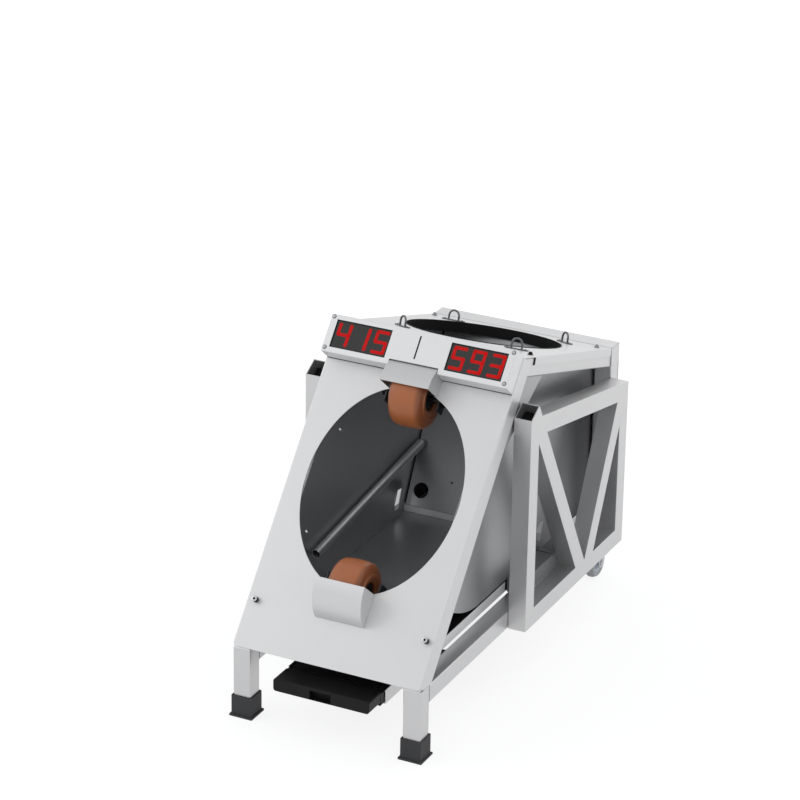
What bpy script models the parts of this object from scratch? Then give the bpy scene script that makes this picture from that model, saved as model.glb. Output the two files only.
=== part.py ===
"""Basketball shooting machine: a wheeled frame that catches a ball from the
net above it and throws it back through two driven wheels.

X runs to the machine's right, Y to its rear and Z up.  The origin lies on the
floor in the middle of the machine's outline.  Sizes are in metres.
"""
import math

import bmesh
import bpy
from mathutils import Vector

for old in list(bpy.data.objects):
    bpy.data.objects.remove(old, do_unlink=True)

# Fits
FIT = 0.0003
SHEET = 0.0012

# Square tube
TUBE = 0.030
TUBE_WALL = 0.0015
TUBE_CORNER = 0.0025
CORNER_STEPS = 2
CORNER_SETBACK = 0.003

# Base frame, with Y counted from the front face of the legs
FRAME_HALF_WIDTH = 0.1605
FRAME_LENGTH = 0.714
RAIL_BOTTOM = 0.089
REAR_POST_TOP = 0.427
RAIL_TOP = RAIL_BOTTOM + TUBE
RAIL_X = FRAME_HALF_WIDTH - TUBE / 2
REAR_POST_FRONT = FRAME_LENGTH - TUBE

# Cross tubes behind the front plate
CROSS_UP = 0.005
CROSS_OVER_HOOD = 0.001

# Rubber feet
FOOT_WALL = 0.002
FOOT_HEIGHT = 0.036
FOOT_BASE = 0.004
FOOT_FLANGE = 0.040

# Front plate, leaning back, measured as s up its face and n behind it
PLATE_LEAN = math.radians(39.54)
PLATE_LENGTH = 0.5367
PLATE_FOOT_Y = -0.0025
PLATE_FLANGE = 0.0309
PLATE_CORNER = 0.008
PLATE_BEND = 0.002
PLATE_FOOT_GAP = 0.0034
PLATE_FOOT_Z = RAIL_TOP + PLATE_FOOT_GAP
OPENING_FOOT = 0.1189
OPENING_HEAD = 0.0826
OPENING_SIDE = 0.0301
OPENING_HALF_WIDTH = FRAME_HALF_WIDTH - OPENING_SIDE
OPENING_HALF_HEIGHT = (PLATE_LENGTH - OPENING_FOOT - OPENING_HEAD) / 2
OPENING_S = OPENING_FOOT + OPENING_HALF_HEIGHT

# Top plate, measured as t back from the ridge and m below its face
TOP_FLANGE = 0.013
TOP_FLANGE_START = 0.0458
BALL_HOLE_FRONT = 0.0783
BALL_HOLE_REAR = 0.0298
BALL_HOLE_EDGE = 0.001
COLLAR_WALL = 0.0013
COLLAR_DEPTH = 0.022

# Ball channel
CHANNEL_FLOOR_Z = 0.1425
FLOOR_BEND_Y = 0.272
FLOOR_BEND_RADIUS = 0.1895
FLOOR_RAMP = math.radians(24.7)
FLOOR_CLEARANCE = 0.006
BACK_WALL_FROM_REAR = 0.198
BACK_WALL_Y = FRAME_LENGTH - BACK_WALL_FROM_REAR
BACK_WALL_KICK = 0.0125
BACK_WALL_LEAN = math.radians(27.4)
CABLE_HOLE_RADIUS = 0.013
CABLE_HOLE_X = -0.1034
CABLE_HOLE_UP = 0.027
SMALL_HOLE_RADIUS = 0.0018
SMALL_HOLE_X = -0.0527
SMALL_HOLE_UP = 0.050
SIDE_HOLE_TO_WALL = 0.008
SIDE_HOLE_LENGTH = 0.033
SIDE_HOLE_UP = 0.0075
SIDE_HOLE_HEIGHT = 0.038
SIDE_HOLE_FRONT_LEAN = 0.006
SIDE_HOLE_REAR_LEAN = 0.014
SIDE_HOLE_CORNER = 0.008
GUIDE_RADIUS = 0.0077
GUIDE_WALL = 0.0016
GUIDE_FRONT_Y = 0.191
GUIDE_FRONT_Z = 0.203
GUIDE_PAST_WALL = 0.041
GUIDE_REAR_Z = 0.250

# Deck and channel mounts
DECK_POST_LAP = 0.0075
DECK_DEPTH = 0.014
MOUNT_TO_WALL = 0.025
MOUNT_LENGTH = 0.124
MOUNT_HEIGHT = 0.027
MOUNT_REAR = BACK_WALL_Y - MOUNT_TO_WALL
MOUNT_FRONT = MOUNT_REAR - MOUNT_LENGTH
DECK_TO_MOUNT = 0.005
DECK_REAR = MOUNT_FRONT - DECK_TO_MOUNT

# Side trusses
TRUSS_FROM_REAR = 0.026
TRUSS_LENGTH = 0.3815
TRUSS_REAR = FRAME_LENGTH - TRUSS_FROM_REAR
TRUSS_FRONT = TRUSS_REAR - TRUSS_LENGTH
BRACE_FOOT_REACH = 0.1555
BRACE_FOOT_FRONT = TRUSS_REAR - BRACE_FOOT_REACH
BRACE_SLOPE = math.radians(60.2)
BRACE_HEIGHT = 0.3456
BRACE_OPEN_DEPTH = 0.060
TRUSS_TOP_REACH = 0.340
TRUSS_TOP_Y = TRUSS_REAR - TRUSS_TOP_REACH
TRUSS_TOP_HEIGHT = 0.324
TRUSS_TOP_SLOPE = math.radians(11.28)
BRACE_FEET_APART = 0.0015
LEFT_TRUSS_OUT = 0.0098
SPACER_LENGTH = 0.040
REAR_BRACE_FOOT = BRACE_FOOT_FRONT + BRACE_FEET_APART
REAR_BRACE_SLOPE = math.radians(64.5)

# Shooting wheels
WHEEL_RADIUS = 0.050
WHEEL_HALF_WIDTH = 0.030
TREAD_HALF_WIDTH = 0.0195
WHEEL_INSET = 0.0076
WHEEL_N = 0.013
LIP_RADIUS = 0.032
WHEEL_BORE = 0.0195
HUB_HALF_LENGTH = 0.0235
AXLE_RADIUS = 0.005
BRACKET_X = 0.0435
BRACKET_THICK = 0.003
BRACKET_FRONT_N = 0.003
BRACKET_WIDTH = 0.022
BRACKET_PAST_AXLE = 0.016
NUT_RADIUS = 0.0085
NUT_LENGTH = 0.005

# Wheel hoods
HOOD_HALF_WIDTH = 0.0415
HOOD_CLEARANCE = 0.0055
NOTCH_HALF_WIDTH = 0.036
NOTCH_CLEARANCE = 0.002

# Score display
DISPLAY_SIDE = 0.0015
DISPLAY_OVER_PLATE = 0.0013
DISPLAY_HEIGHT = 0.0625
DISPLAY_DEPTH = 0.030
DISPLAY_HALF_WIDTH = FRAME_HALF_WIDTH - DISPLAY_SIDE
DISPLAY_TOP = PLATE_LENGTH + DISPLAY_OVER_PLATE
DISPLAY_BOTTOM = DISPLAY_TOP - DISPLAY_HEIGHT
WINDOW_INNER = 0.051
WINDOW_SIDE = 0.0122
WINDOW_DOWN = 0.008
WINDOW_HEIGHT = 0.0455
WINDOW_OUTER = DISPLAY_HALF_WIDTH - WINDOW_SIDE
WINDOW_TOP = DISPLAY_TOP - WINDOW_DOWN
WINDOW_BOTTOM = WINDOW_TOP - WINDOW_HEIGHT
WINDOW_LAP = 0.003
WINDOW_THICK = 0.008

# Battery pack and its tray
BATTERY_HALF_WIDTH = 0.082
BATTERY_FRONT = -0.0165
BATTERY_CAP_LENGTH = 0.040
BATTERY_CAP_BOTTOM = 0.0695
BATTERY_CAP_TOP = 0.091
BATTERY_CAP_BEVEL = 0.003
BATTERY_LENGTH = 0.222
BATTERY_BOTTOM = 0.0655
BATTERY_TOP = 0.0872
RECESS_LEFT = -0.019
RECESS_RIGHT = 0.017
RECESS_DEPTH = 0.012
RECESS_LID = 0.005
RECESS_SILL = 0.0015
TRAY_FRONT = 0.036
TRAY_TOP_FRONT = 0.100
TRAY_REAR = 0.196
TRAY_LIP = 0.012
TRAY_FLANGE_TOP = 0.115

# Ball feeder under the channel
FEEDER_FRONT = MOUNT_FRONT
FEEDER_LENGTH = 0.138
FEEDER_REAR = FEEDER_FRONT + FEEDER_LENGTH
FEEDER_HALF_WIDTH = 0.040
FEEDER_HEIGHT = 0.040
FEEDER_WALL = 0.006
ARM_PIVOT_BACK = 0.023
ARM_PIVOT_Y = FEEDER_FRONT + ARM_PIVOT_BACK
ARM_DROP = 0.0105
ARM_LENGTH = 0.100
ARM_HALF_HEIGHT = 0.0055
ARM_HALF_WIDTH = 0.006
SLOT_HALF_WIDTH = 0.0085
SLOT_BEFORE_PIVOT = 0.016
SLOT_PAST_ARM = 0.008

# Control box and rear cover
CONTROL_HALF_WIDTH = 0.070
CONTROL_DEPTH = 0.072
CONTROL_HEIGHT = 0.105

# Casters
CASTER_FROM_REAR = 0.032
CASTER_INSET = 0.012
CASTER_SWIVEL_Y = FRAME_LENGTH - CASTER_FROM_REAR
CASTER_TRAIL = 0.029
CASTER_RADIUS = 0.027
CASTER_HALF_WIDTH = 0.0095
CASTER_PLATE = (0.044, 0.062, 0.003)
CASTER_RACE_RADIUS = 0.019
CASTER_FORK_GAP = 0.0115
CASTER_FORK_WALL = 0.0025
CASTER_CROWN_GAP = 0.006
CASTER_AXLE_RADIUS = 0.004
CASTER_NUT = 0.002
PEDAL_BACK = 0.024
PEDAL_PIVOT_BACK = 0.014
PEDAL_TIP = 0.012
PEDAL_EAR = 0.005

# Net eyes
EYE_FROM_SIDE = {"front_left": 0.0695, "front_right": 0.0535, "rear_left": 0.0585, "rear_right": 0.0625}
EYE_PAST_HOLE = {"front_left": 0.0120, "front_right": 0.0130, "rear_left": 0.0210, "rear_right": 0.0218}
EYE_RADIUS = 0.0089
EYE_WIRE = 0.0017
EYE_LEG = 0.0065
EYE_TURN = math.radians(38)
EYE_BASE = (0.040, 0.010, 0.0015)

# Places worked out from the sizes above
SIN_LEAN = math.sin(PLATE_LEAN)
COS_LEAN = math.cos(PLATE_LEAN)
RIDGE_Y = PLATE_FOOT_Y + SIN_LEAN * PLATE_LENGTH
RIDGE_Z = PLATE_FOOT_Z + COS_LEAN * PLATE_LENGTH
TOP_REAR_Y = REAR_POST_FRONT - FIT
TOP_REAR_Z = REAR_POST_TOP + SHEET
TOP_SLOPE = math.atan2(RIDGE_Z - TOP_REAR_Z, TOP_REAR_Y - RIDGE_Y)
TOP_LENGTH = math.hypot(RIDGE_Z - TOP_REAR_Z, TOP_REAR_Y - RIDGE_Y)
SIN_TOP = math.sin(TOP_SLOPE)
COS_TOP = math.cos(TOP_SLOPE)
SKIN = SHEET + FIT
TOP_START = SHEET + FIT
TUBE_X = FRAME_HALF_WIDTH - SKIN - TUBE / 2
TRUSS_X = FRAME_HALF_WIDTH + FIT + TUBE / 2
LOWER_WHEEL_S = OPENING_S - OPENING_HALF_HEIGHT + WHEEL_INSET
UPPER_WHEEL_S = OPENING_S + OPENING_HALF_HEIGHT - WHEEL_INSET
HOOD_RADIUS = WHEEL_RADIUS + HOOD_CLEARANCE
CHANNEL_HALF_WIDTH = TUBE_X - TUBE / 2 - SKIN
CHANNEL_OUTER = CHANNEL_HALF_WIDTH + SHEET
BALL_HOLE_HALF_WIDTH = CHANNEL_HALF_WIDTH - BALL_HOLE_EDGE
BALL_HOLE_HALF_LENGTH = (TOP_LENGTH - BALL_HOLE_FRONT - BALL_HOLE_REAR) / 2
BALL_HOLE_T = BALL_HOLE_FRONT + BALL_HOLE_HALF_LENGTH
EYE_FROM = {"front": BALL_HOLE_FRONT, "rear": TOP_LENGTH - BALL_HOLE_REAR}
LOWER_CROSS_S = CROSS_UP + TUBE / 2
UPPER_CROSS_S = UPPER_WHEEL_S + HOOD_RADIUS + TUBE / 2 + CROSS_OVER_HOOD
DECK_TOP = CHANNEL_FLOOR_Z - SHEET - FIT
POST_BACK_S = (DECK_TOP - PLATE_FOOT_Z + SIN_LEAN * (SKIN + TUBE)) / COS_LEAN
DECK_FRONT = PLATE_FOOT_Y + SIN_LEAN * POST_BACK_S + COS_LEAN * (SKIN + TUBE) - DECK_POST_LAP
SLOT_FRONT = ARM_PIVOT_Y - SLOT_BEFORE_PIVOT
SLOT_REAR = ARM_PIVOT_Y + ARM_LENGTH + SLOT_PAST_ARM
CASTER_TOP = RAIL_BOTTOM - FIT
CASTER_AXLE_Y = CASTER_SWIVEL_Y + CASTER_TRAIL
MACHINE_FRONT = BATTERY_FRONT
MACHINE_REAR = CASTER_AXLE_Y + PEDAL_BACK + PEDAL_TIP
CENTRE_Y = (MACHINE_FRONT + MACHINE_REAR) / 2

ACROSS = Vector((1, 0, 0))
REARWARD = Vector((0, 1, 0))
UPWARD = Vector((0, 0, 1))
UP_PLATE = Vector((0, SIN_LEAN, COS_LEAN))
BEHIND_PLATE = Vector((0, COS_LEAN, -SIN_LEAN))
DOWN_TOP = Vector((0, COS_TOP, -SIN_TOP))
BELOW_TOP = Vector((0, -SIN_TOP, -COS_TOP))


def at(x, y, z):
    """Point of the machine from X, Y behind the legs' front face and Z."""
    return Vector((x, y - CENTRE_Y, z))


def on_plate(x, s, n):
    """Point x across, s up and n behind the front plate's face."""
    return at(x, PLATE_FOOT_Y, PLATE_FOOT_Z) + UP_PLATE * s + BEHIND_PLATE * n


def on_top(x, t, m):
    """Point x across, t behind the ridge and m below the top plate's face."""
    return at(x, RIDGE_Y, RIDGE_Z) + DOWN_TOP * t + BELOW_TOP * m


def finish(name, colour, roughness, metallic=0.0):
    """Principled material with one colour."""
    made = bpy.data.materials.new(name)
    made.use_nodes = True
    shader = made.node_tree.nodes["Principled BSDF"]
    shader.inputs["Base Color"].default_value = (*colour, 1.0)
    shader.inputs["Roughness"].default_value = roughness
    shader.inputs["Metallic"].default_value = metallic
    made.diffuse_color = (*colour, 1.0)
    return made


PAINT = finish("silver_paint", (0.72, 0.72, 0.73), 0.42)
PANEL = finish("panel_paint", (0.80, 0.80, 0.81), 0.45)
CHANNEL = finish("channel_paint", (0.55, 0.55, 0.57), 0.45)
RUBBER = finish("black_rubber", (0.035, 0.035, 0.038), 0.75)
BLACK = finish("black_plastic", (0.03, 0.03, 0.032), 0.45)
STEEL = finish("zinc_steel", (0.55, 0.56, 0.58), 0.30, 0.9)
DARK_STEEL = finish("dark_steel", (0.06, 0.06, 0.065), 0.40, 0.5)
TYRE = finish("orange_polyurethane", (0.42, 0.14, 0.045), 0.45)
GLASS = finish("display_window", (0.035, 0.037, 0.04), 0.20)
GREY_TYRE = finish("grey_rubber", (0.30, 0.31, 0.33), 0.60)
HUB_WHITE = finish("caster_hub", (0.62, 0.65, 0.70), 0.45)


def make(name, bm, material, origin, smooth=None):
    """Object from bm, whose points are in the machine's frame, placed at origin."""
    bmesh.ops.remove_doubles(bm, verts=bm.verts, dist=0.000001)
    bmesh.ops.recalc_face_normals(bm, faces=bm.faces)
    bmesh.ops.translate(bm, verts=bm.verts, vec=-origin)
    mesh = bpy.data.meshes.new(name)
    bm.to_mesh(mesh)
    bm.free()
    made = bpy.data.objects.new(name, mesh)
    bpy.context.scene.collection.objects.link(made)
    made.location = origin
    mesh.materials.append(material)
    if smooth is not None:
        mesh.shade_smooth()
        mesh.set_sharp_from_angle(angle=math.radians(smooth))
    return made


def cut(target, name, bm, origin, operation="DIFFERENCE"):
    """Boolean on the target with a hidden cutter made from bm."""
    tool = make(name, bm, BLACK, origin)
    tool.hide_render = True
    tool.display_type = "WIRE"
    step = target.modifiers.new(name, "BOOLEAN")
    step.operation = operation
    step.object = tool
    step.solver = "EXACT"
    return tool


def soften(target):
    """Small rounding on a welded frame's long edges."""
    edge = target.modifiers.new("edges", "BEVEL")
    edge.width = TUBE_CORNER * 0.8
    edge.segments = 2
    edge.limit_method = "ANGLE"
    edge.angle_limit = math.radians(60)


def ring_faces(bm, first, second):
    """Quads between two closed loops of the same length."""
    count = len(first)
    for i in range(count):
        j = (i + 1) % count
        bm.faces.new((first[i], first[j], second[j], second[i]))


def add_prism(bm, outline, low, high, place):
    """Closed solid: outline of (a, b) between c = low and c = high."""
    lower = [bm.verts.new(place(a, b, low)) for a, b in outline]
    upper = [bm.verts.new(place(a, b, high)) for a, b in outline]
    ring_faces(bm, lower, upper)
    bm.faces.new(lower)
    bm.faces.new(upper)


def add_box(bm, low, high):
    """Upright box between two corners given as (x, y, z) of the machine."""
    outline = [(low[0], low[1]), (high[0], low[1]), (high[0], high[1]), (low[0], high[1])]
    add_prism(bm, outline, low[2], high[2], at)


def arc(centre, radius, first, last, steps):
    """Points (a, b) on an arc, both ends included, angles in radians."""
    points = []
    for i in range(steps + 1):
        angle = first + (last - first) * i / steps
        points.append((centre[0] + radius * math.cos(angle), centre[1] + radius * math.sin(angle)))
    return points


def add_lathe(bm, profile, centre, axis, steps, closed=False):
    """Turned solid: profile of (along, radius) about the axis through centre.

    An open profile starts and ends on the axis; a closed one makes a ring.
    """
    axis = axis.normalized()
    side = axis.orthogonal().normalized()
    other = axis.cross(side)
    loops = []
    for along, radius in profile:
        base = centre + axis * along
        if radius < 1e-7:
            loops.append([bm.verts.new(base)])
            continue
        loop = []
        for i in range(steps):
            angle = 2 * math.pi * i / steps
            spoke = side * math.cos(angle) + other * math.sin(angle)
            loop.append(bm.verts.new(base + spoke * radius))
        loops.append(loop)
    pairs = list(zip(loops, loops[1:]))
    if closed:
        pairs.append((loops[-1], loops[0]))
    for first, second in pairs:
        if len(first) == 1 and len(second) == 1:
            continue
        if len(first) == 1:
            for i in range(steps):
                bm.faces.new((first[0], second[(i + 1) % steps], second[i]))
        elif len(second) == 1:
            for i in range(steps):
                bm.faces.new((first[i], first[(i + 1) % steps], second[0]))
        else:
            ring_faces(bm, first, second)


def add_rod(bm, start, end, radius, steps=24, chamfer=0.0):
    """Solid round bar between two points."""
    length = (end - start).length
    profile = [(0, 0), (0, radius - chamfer)]
    if chamfer > 0:
        profile += [(chamfer, radius), (length - chamfer, radius)]
    profile += [(length, radius - chamfer), (length, 0)]
    if chamfer <= 0:
        profile = [(0, 0), (0, radius), (length, radius), (length, 0)]
    add_lathe(bm, profile, start, end - start, steps)


def add_pipe(bm, start, end, radius, wall, steps=24):
    """Round pipe open at both ends."""
    length = (end - start).length
    inner = radius - wall
    profile = [(0, inner), (0, radius), (length, radius), (length, inner)]
    add_lathe(bm, profile, start, end - start, steps, closed=True)


def square_loop(half_u, half_v, radius, breaks):
    """Rounded square of (u, v); breaks are extra v values on its upright sides."""
    corners = ((half_u - radius, half_v - radius), (radius - half_u, half_v - radius),
               (radius - half_u, radius - half_v), (half_u - radius, radius - half_v))
    loop = [(half_u, v) for v in sorted(breaks)]
    for i, centre in enumerate(corners):
        loop += arc(centre, radius, math.pi / 2 * i, math.pi / 2 * (i + 1), CORNER_STEPS)
        if i == 1:
            loop += [(-half_u, v) for v in sorted(breaks, reverse=True)]
    return loop


def reach(point, direction, cuts, pick):
    """How far from the point along the direction the cutting planes lie."""
    far = [(spot - point).dot(normal) / direction.dot(normal) for spot, normal in cuts]
    return pick(far)


def add_tube(bm, start, end, wide=ACROSS, start_cuts=None, end_cuts=None):
    """Square tube from start to end, open at both ends.

    The cuts are planes (point, normal) that trim an end.
    """
    along = (end - start).normalized()
    wide = (wide - along * wide.dot(along)).normalized()
    deep = wide.cross(along).normalized()
    start_cuts = start_cuts or [(start, along)]
    end_cuts = end_cuts or [(end, along)]
    breaks = []
    for cuts in (start_cuts, end_cuts):
        if len(cuts) == 2:
            slopes = [-deep.dot(normal) / along.dot(normal) for spot, normal in cuts]
            levels = [(spot - start).dot(normal) / along.dot(normal) for spot, normal in cuts]
            where = (levels[1] - levels[0]) / (slopes[0] - slopes[1])
            if abs(where) < TUBE / 2 - TUBE_CORNER:
                breaks.append(where)
    rings = []
    for inset in (0.0, TUBE_WALL):
        half = TUBE / 2 - inset
        loop = square_loop(half, half, TUBE_CORNER - inset, breaks)
        for cuts, pick in ((start_cuts, max), (end_cuts, min)):
            ring = []
            for u, v in loop:
                point = start + wide * u + deep * v
                ring.append(bm.verts.new(point + along * reach(point, along, cuts, pick)))
            rings.append(ring)
    outer_start, outer_end, inner_start, inner_end = rings
    ring_faces(bm, outer_start, outer_end)
    ring_faces(bm, inner_end, inner_start)
    ring_faces(bm, inner_start, outer_start)
    ring_faces(bm, outer_end, inner_end)


def tube(name, start, end, **trims):
    """Square tube as an object of its own, its origin at its start."""
    bm = bmesh.new()
    add_tube(bm, start, end, **trims)
    return make(name, bm, PAINT, start, smooth=35)


def channel_profile(half, depth, wall, bend):
    """U section (a, b): web along b = 0, flanges down to b = depth."""
    outer = [(-half, depth)]
    outer += arc((-half + bend, bend), bend, math.pi, math.pi * 1.5, 3)
    outer += arc((half - bend, bend), bend, math.pi * 1.5, math.pi * 2, 3)
    outer += [(half, depth), (half - wall, depth)]
    inner = bend - wall
    outer += arc((half - bend, bend), inner, math.pi * 2, math.pi * 1.5, 3)
    outer += arc((-half + bend, bend), inner, math.pi * 1.5, math.pi, 3)
    outer += [(-half + wall, depth)]
    return outer


def offset_path(path, distance):
    """The path moved sideways by distance, corners kept sharp."""
    moved = []
    for i, (a, b) in enumerate(path):
        normals = []
        for j, k in ((i - 1, i), (i, i + 1)):
            if 0 <= j and k < len(path):
                run = (path[k][0] - path[j][0], path[k][1] - path[j][1])
                size = math.hypot(*run)
                normals.append((-run[1] / size, run[0] / size))
        if len(normals) == 2:
            total = (normals[0][0] + normals[1][0], normals[0][1] + normals[1][1])
            scale = distance * 2 / (total[0] ** 2 + total[1] ** 2)
            moved.append((a + total[0] * scale, b + total[1] * scale))
        else:
            moved.append((a + normals[0][0] * distance, b + normals[0][1] * distance))
    return moved


def profile_place(y, z, x):
    """Place (y, z) outlines with x as the depth."""
    return at(x, y, z)


def plate_place(x, s, n):
    """Place (x, s) outlines with n as the depth."""
    return on_plate(x, s, n)


# Base frame
def build_base():
    """Legs, rails, posts and cross tubes of the base frame."""
    for side, name in ((-1, "left"), (1, "right")):
        x = side * RAIL_X
        leg_foot = at(x, TUBE / 2, FOOT_BASE + FIT)
        tube("leg_" + name, leg_foot, at(x, TUBE / 2, RAIL_TOP), wide=ACROSS)
        rail_z = RAIL_BOTTOM + TUBE / 2
        tube("base_rail_" + name, at(x, TUBE + FIT, rail_z), at(x, REAR_POST_FRONT - FIT, rail_z))
        build_foot("foot_" + name, x)
    bm = bmesh.new()
    post = FRAME_HALF_WIDTH
    inner = post - TUBE
    outline = [(-post, RAIL_BOTTOM), (post, RAIL_BOTTOM), (post, REAR_POST_TOP), (-post, REAR_POST_TOP)]
    add_prism(bm, outline, REAR_POST_FRONT, FRAME_LENGTH, lambda a, b, c: at(a, c, b))
    origin = at(0, REAR_POST_FRONT, RAIL_BOTTOM)
    frame = make("rear_frame", bm, PAINT, origin)
    bm = bmesh.new()
    outline = [(-inner, RAIL_TOP), (inner, RAIL_TOP), (inner, REAR_POST_TOP - TUBE), (-inner, REAR_POST_TOP - TUBE)]
    add_prism(bm, outline, REAR_POST_FRONT - TUBE, FRAME_LENGTH + TUBE, lambda a, b, c: at(a, c, b))
    cut(frame, "cut_rear_window", bm, origin)
    soften(frame)


def build_foot(name, x):
    """Rubber sleeve with a closed, flanged bottom."""
    bm = bmesh.new()
    inner = TUBE / 2 + FIT
    outer = inner + FOOT_WALL
    centre = at(x, TUBE / 2, 0)
    rings = []
    levels = ((FOOT_FLANGE / 2, 0.0), (FOOT_FLANGE / 2, FOOT_BASE - FIT),
              (outer, FOOT_BASE), (outer, FOOT_HEIGHT), (inner, FOOT_HEIGHT),
              (inner, FOOT_BASE))
    for half, z in levels:
        loop = square_loop(half, half, 0.003, ())
        rings.append([bm.verts.new(centre + Vector((u, v, z))) for u, v in loop])
    for first, second in zip(rings, rings[1:]):
        ring_faces(bm, first, second)
    bm.faces.new(rings[0])
    bm.faces.new(rings[-1])
    return make(name, bm, RUBBER, centre, smooth=35)


def build_upper_frame():
    """Tubes behind the front plate and under the top plate."""
    inset = SKIN + TUBE / 2
    ridge_front = on_plate(0, PLATE_LENGTH, SKIN)
    ridge_top = on_top(0, 0, SKIN)
    corner = meet(ridge_front, UP_PLATE, ridge_top, DOWN_TOP)
    mitre = (UP_PLATE + DOWN_TOP).normalized()
    for side, name in ((-1, "left"), (1, "right")):
        x = side * TUBE_X
        start = on_plate(x, inset, inset)
        end = on_plate(x, PLATE_LENGTH, inset)
        tube("front_post_" + name, start, end,
             start_cuts=[(at(x, 0, RAIL_TOP + FIT), UPWARD)],
             end_cuts=[(corner - mitre * FIT / 2, mitre)])
        start = on_top(x, 0, inset)
        end = on_top(x, TOP_LENGTH, inset)
        tube("top_tube_" + name, start, end,
             start_cuts=[(corner + mitre * FIT / 2, mitre)],
             end_cuts=[(at(x, REAR_POST_FRONT - FIT, 0), REARWARD)])
    cross = TUBE_X - TUBE / 2 - FIT
    for name, s in (("front_lower_cross_tube", LOWER_CROSS_S), ("front_upper_cross_tube", UPPER_CROSS_S)):
        tube(name, on_plate(-cross, s, inset), on_plate(cross, s, inset), wide=BEHIND_PLATE)


def meet(first, first_way, second, second_way):
    """Where two lines in the machine's middle plane cross."""
    gap = second - first
    turn = first_way.y * second_way.z - first_way.z * second_way.y
    far = (gap.y * second_way.z - gap.z * second_way.y) / turn
    return first + first_way * far


# Side trusses
def edge_line(y, z, slope, side=0.0):
    """Line of the side view through (y, z), moved side to its right."""
    way = Vector((0, math.cos(slope), math.sin(slope)))
    across = Vector((0, math.sin(slope), -math.cos(slope)))
    return at(0, y, z) + across * side, way


def crossings(*lines):
    """Corners (y, z) where each line meets the next, the last meeting the first."""
    corners = []
    for i, line in enumerate(lines):
        point = meet(*line, *lines[(i + 1) % len(lines)])
        corners.append((point.y + CENTRE_Y, point.z))
    return corners


def add_spacers(truss, face, origin):
    """Welded blocks on the inner face that hold the truss away from the frame."""
    inner = -FRAME_HALF_WIDTH - FIT
    for i, (y0, y1, z0) in enumerate(((TRUSS_FRONT, TRUSS_FRONT + SPACER_LENGTH, RAIL_BOTTOM),
                                      (TRUSS_REAR - SPACER_LENGTH, TRUSS_REAR, RAIL_BOTTOM),
                                      (TRUSS_REAR - TUBE, TRUSS_REAR, REAR_POST_TOP - TUBE * 3))):
        edge = CORNER_SETBACK
        bm = bmesh.new()
        add_box(bm, (face - TUBE_WALL, y0 + edge, z0 + edge), (inner, y1 - edge, z0 + TUBE - edge))
        cut(truss, "join_spacer_%d" % i, bm, origin, "UNION")


def build_trusses():
    """A welded, triangulated frame of square tube on each side."""
    upright = math.pi / 2
    base = edge_line(0, RAIL_BOTTOM, 0)
    sill = edge_line(0, RAIL_TOP, 0)
    front = edge_line(TRUSS_FRONT, 0, upright)
    front_in = edge_line(TRUSS_FRONT + TUBE, 0, upright)
    rear = edge_line(TRUSS_REAR, 0, upright)
    rear_in = edge_line(TRUSS_REAR - TUBE, 0, upright)
    top = edge_line(TRUSS_TOP_Y, RAIL_TOP + TRUSS_TOP_HEIGHT, -TRUSS_TOP_SLOPE)
    top_in = edge_line(TRUSS_TOP_Y, RAIL_TOP + TRUSS_TOP_HEIGHT, -TRUSS_TOP_SLOPE, TUBE)
    brace = edge_line(BRACE_FOOT_FRONT, RAIL_TOP, -BRACE_SLOPE)
    brace_in = edge_line(BRACE_FOOT_FRONT, RAIL_TOP, -BRACE_SLOPE, TUBE)
    reach_up = BRACE_HEIGHT / math.sin(BRACE_SLOPE)
    end_spot = brace[0] - brace[1] * reach_up
    brace_end = (end_spot, Vector((0, math.sin(BRACE_SLOPE), math.cos(BRACE_SLOPE))))
    strut = edge_line(REAR_BRACE_FOOT, RAIL_TOP, REAR_BRACE_SLOPE)
    strut_in = edge_line(REAR_BRACE_FOOT, RAIL_TOP, REAR_BRACE_SLOPE, TUBE)
    outline = crossings(base, rear, top, brace, brace_end, brace_in, front)
    outline = [outline[-1]] + outline[:-1]
    holes = (crossings(sill, front_in, brace_in), crossings(sill, brace, top_in, strut),
             crossings(sill, strut_in, rear_in))
    for side, name, out in ((-1, "left", LEFT_TRUSS_OUT), (1, "right", 0.0)):
        middle = side * (TRUSS_X + out)
        low, high = middle - TUBE / 2, middle + TUBE / 2
        bm = bmesh.new()
        add_prism(bm, outline, low, high, profile_place)
        origin = at(middle, TRUSS_FRONT, RAIL_BOTTOM)
        truss = make("truss_" + name, bm, PAINT, origin)
        bm = bmesh.new()
        for hole in holes:
            add_prism(bm, hole, low - TUBE, high + TUBE, profile_place)
        cut(truss, "cut_truss_" + name, bm, origin)
        soften(truss)
        if out:
            add_spacers(truss, high, origin)
        bm = bmesh.new()
        spot = end_spot + ACROSS * middle - brace_end[1] * TUBE / 2
        half = TUBE / 2 - TUBE_WALL
        square = [(-half, -half), (half, -half), (half, half), (-half, half)]
        add_prism(bm, square, -0.01, BRACE_OPEN_DEPTH,
                  lambda a, b, c: spot + ACROSS * a + brace_end[1] * b + brace[1] * c)
        cut(truss, "cut_brace_end_" + name, bm, origin)


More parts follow.
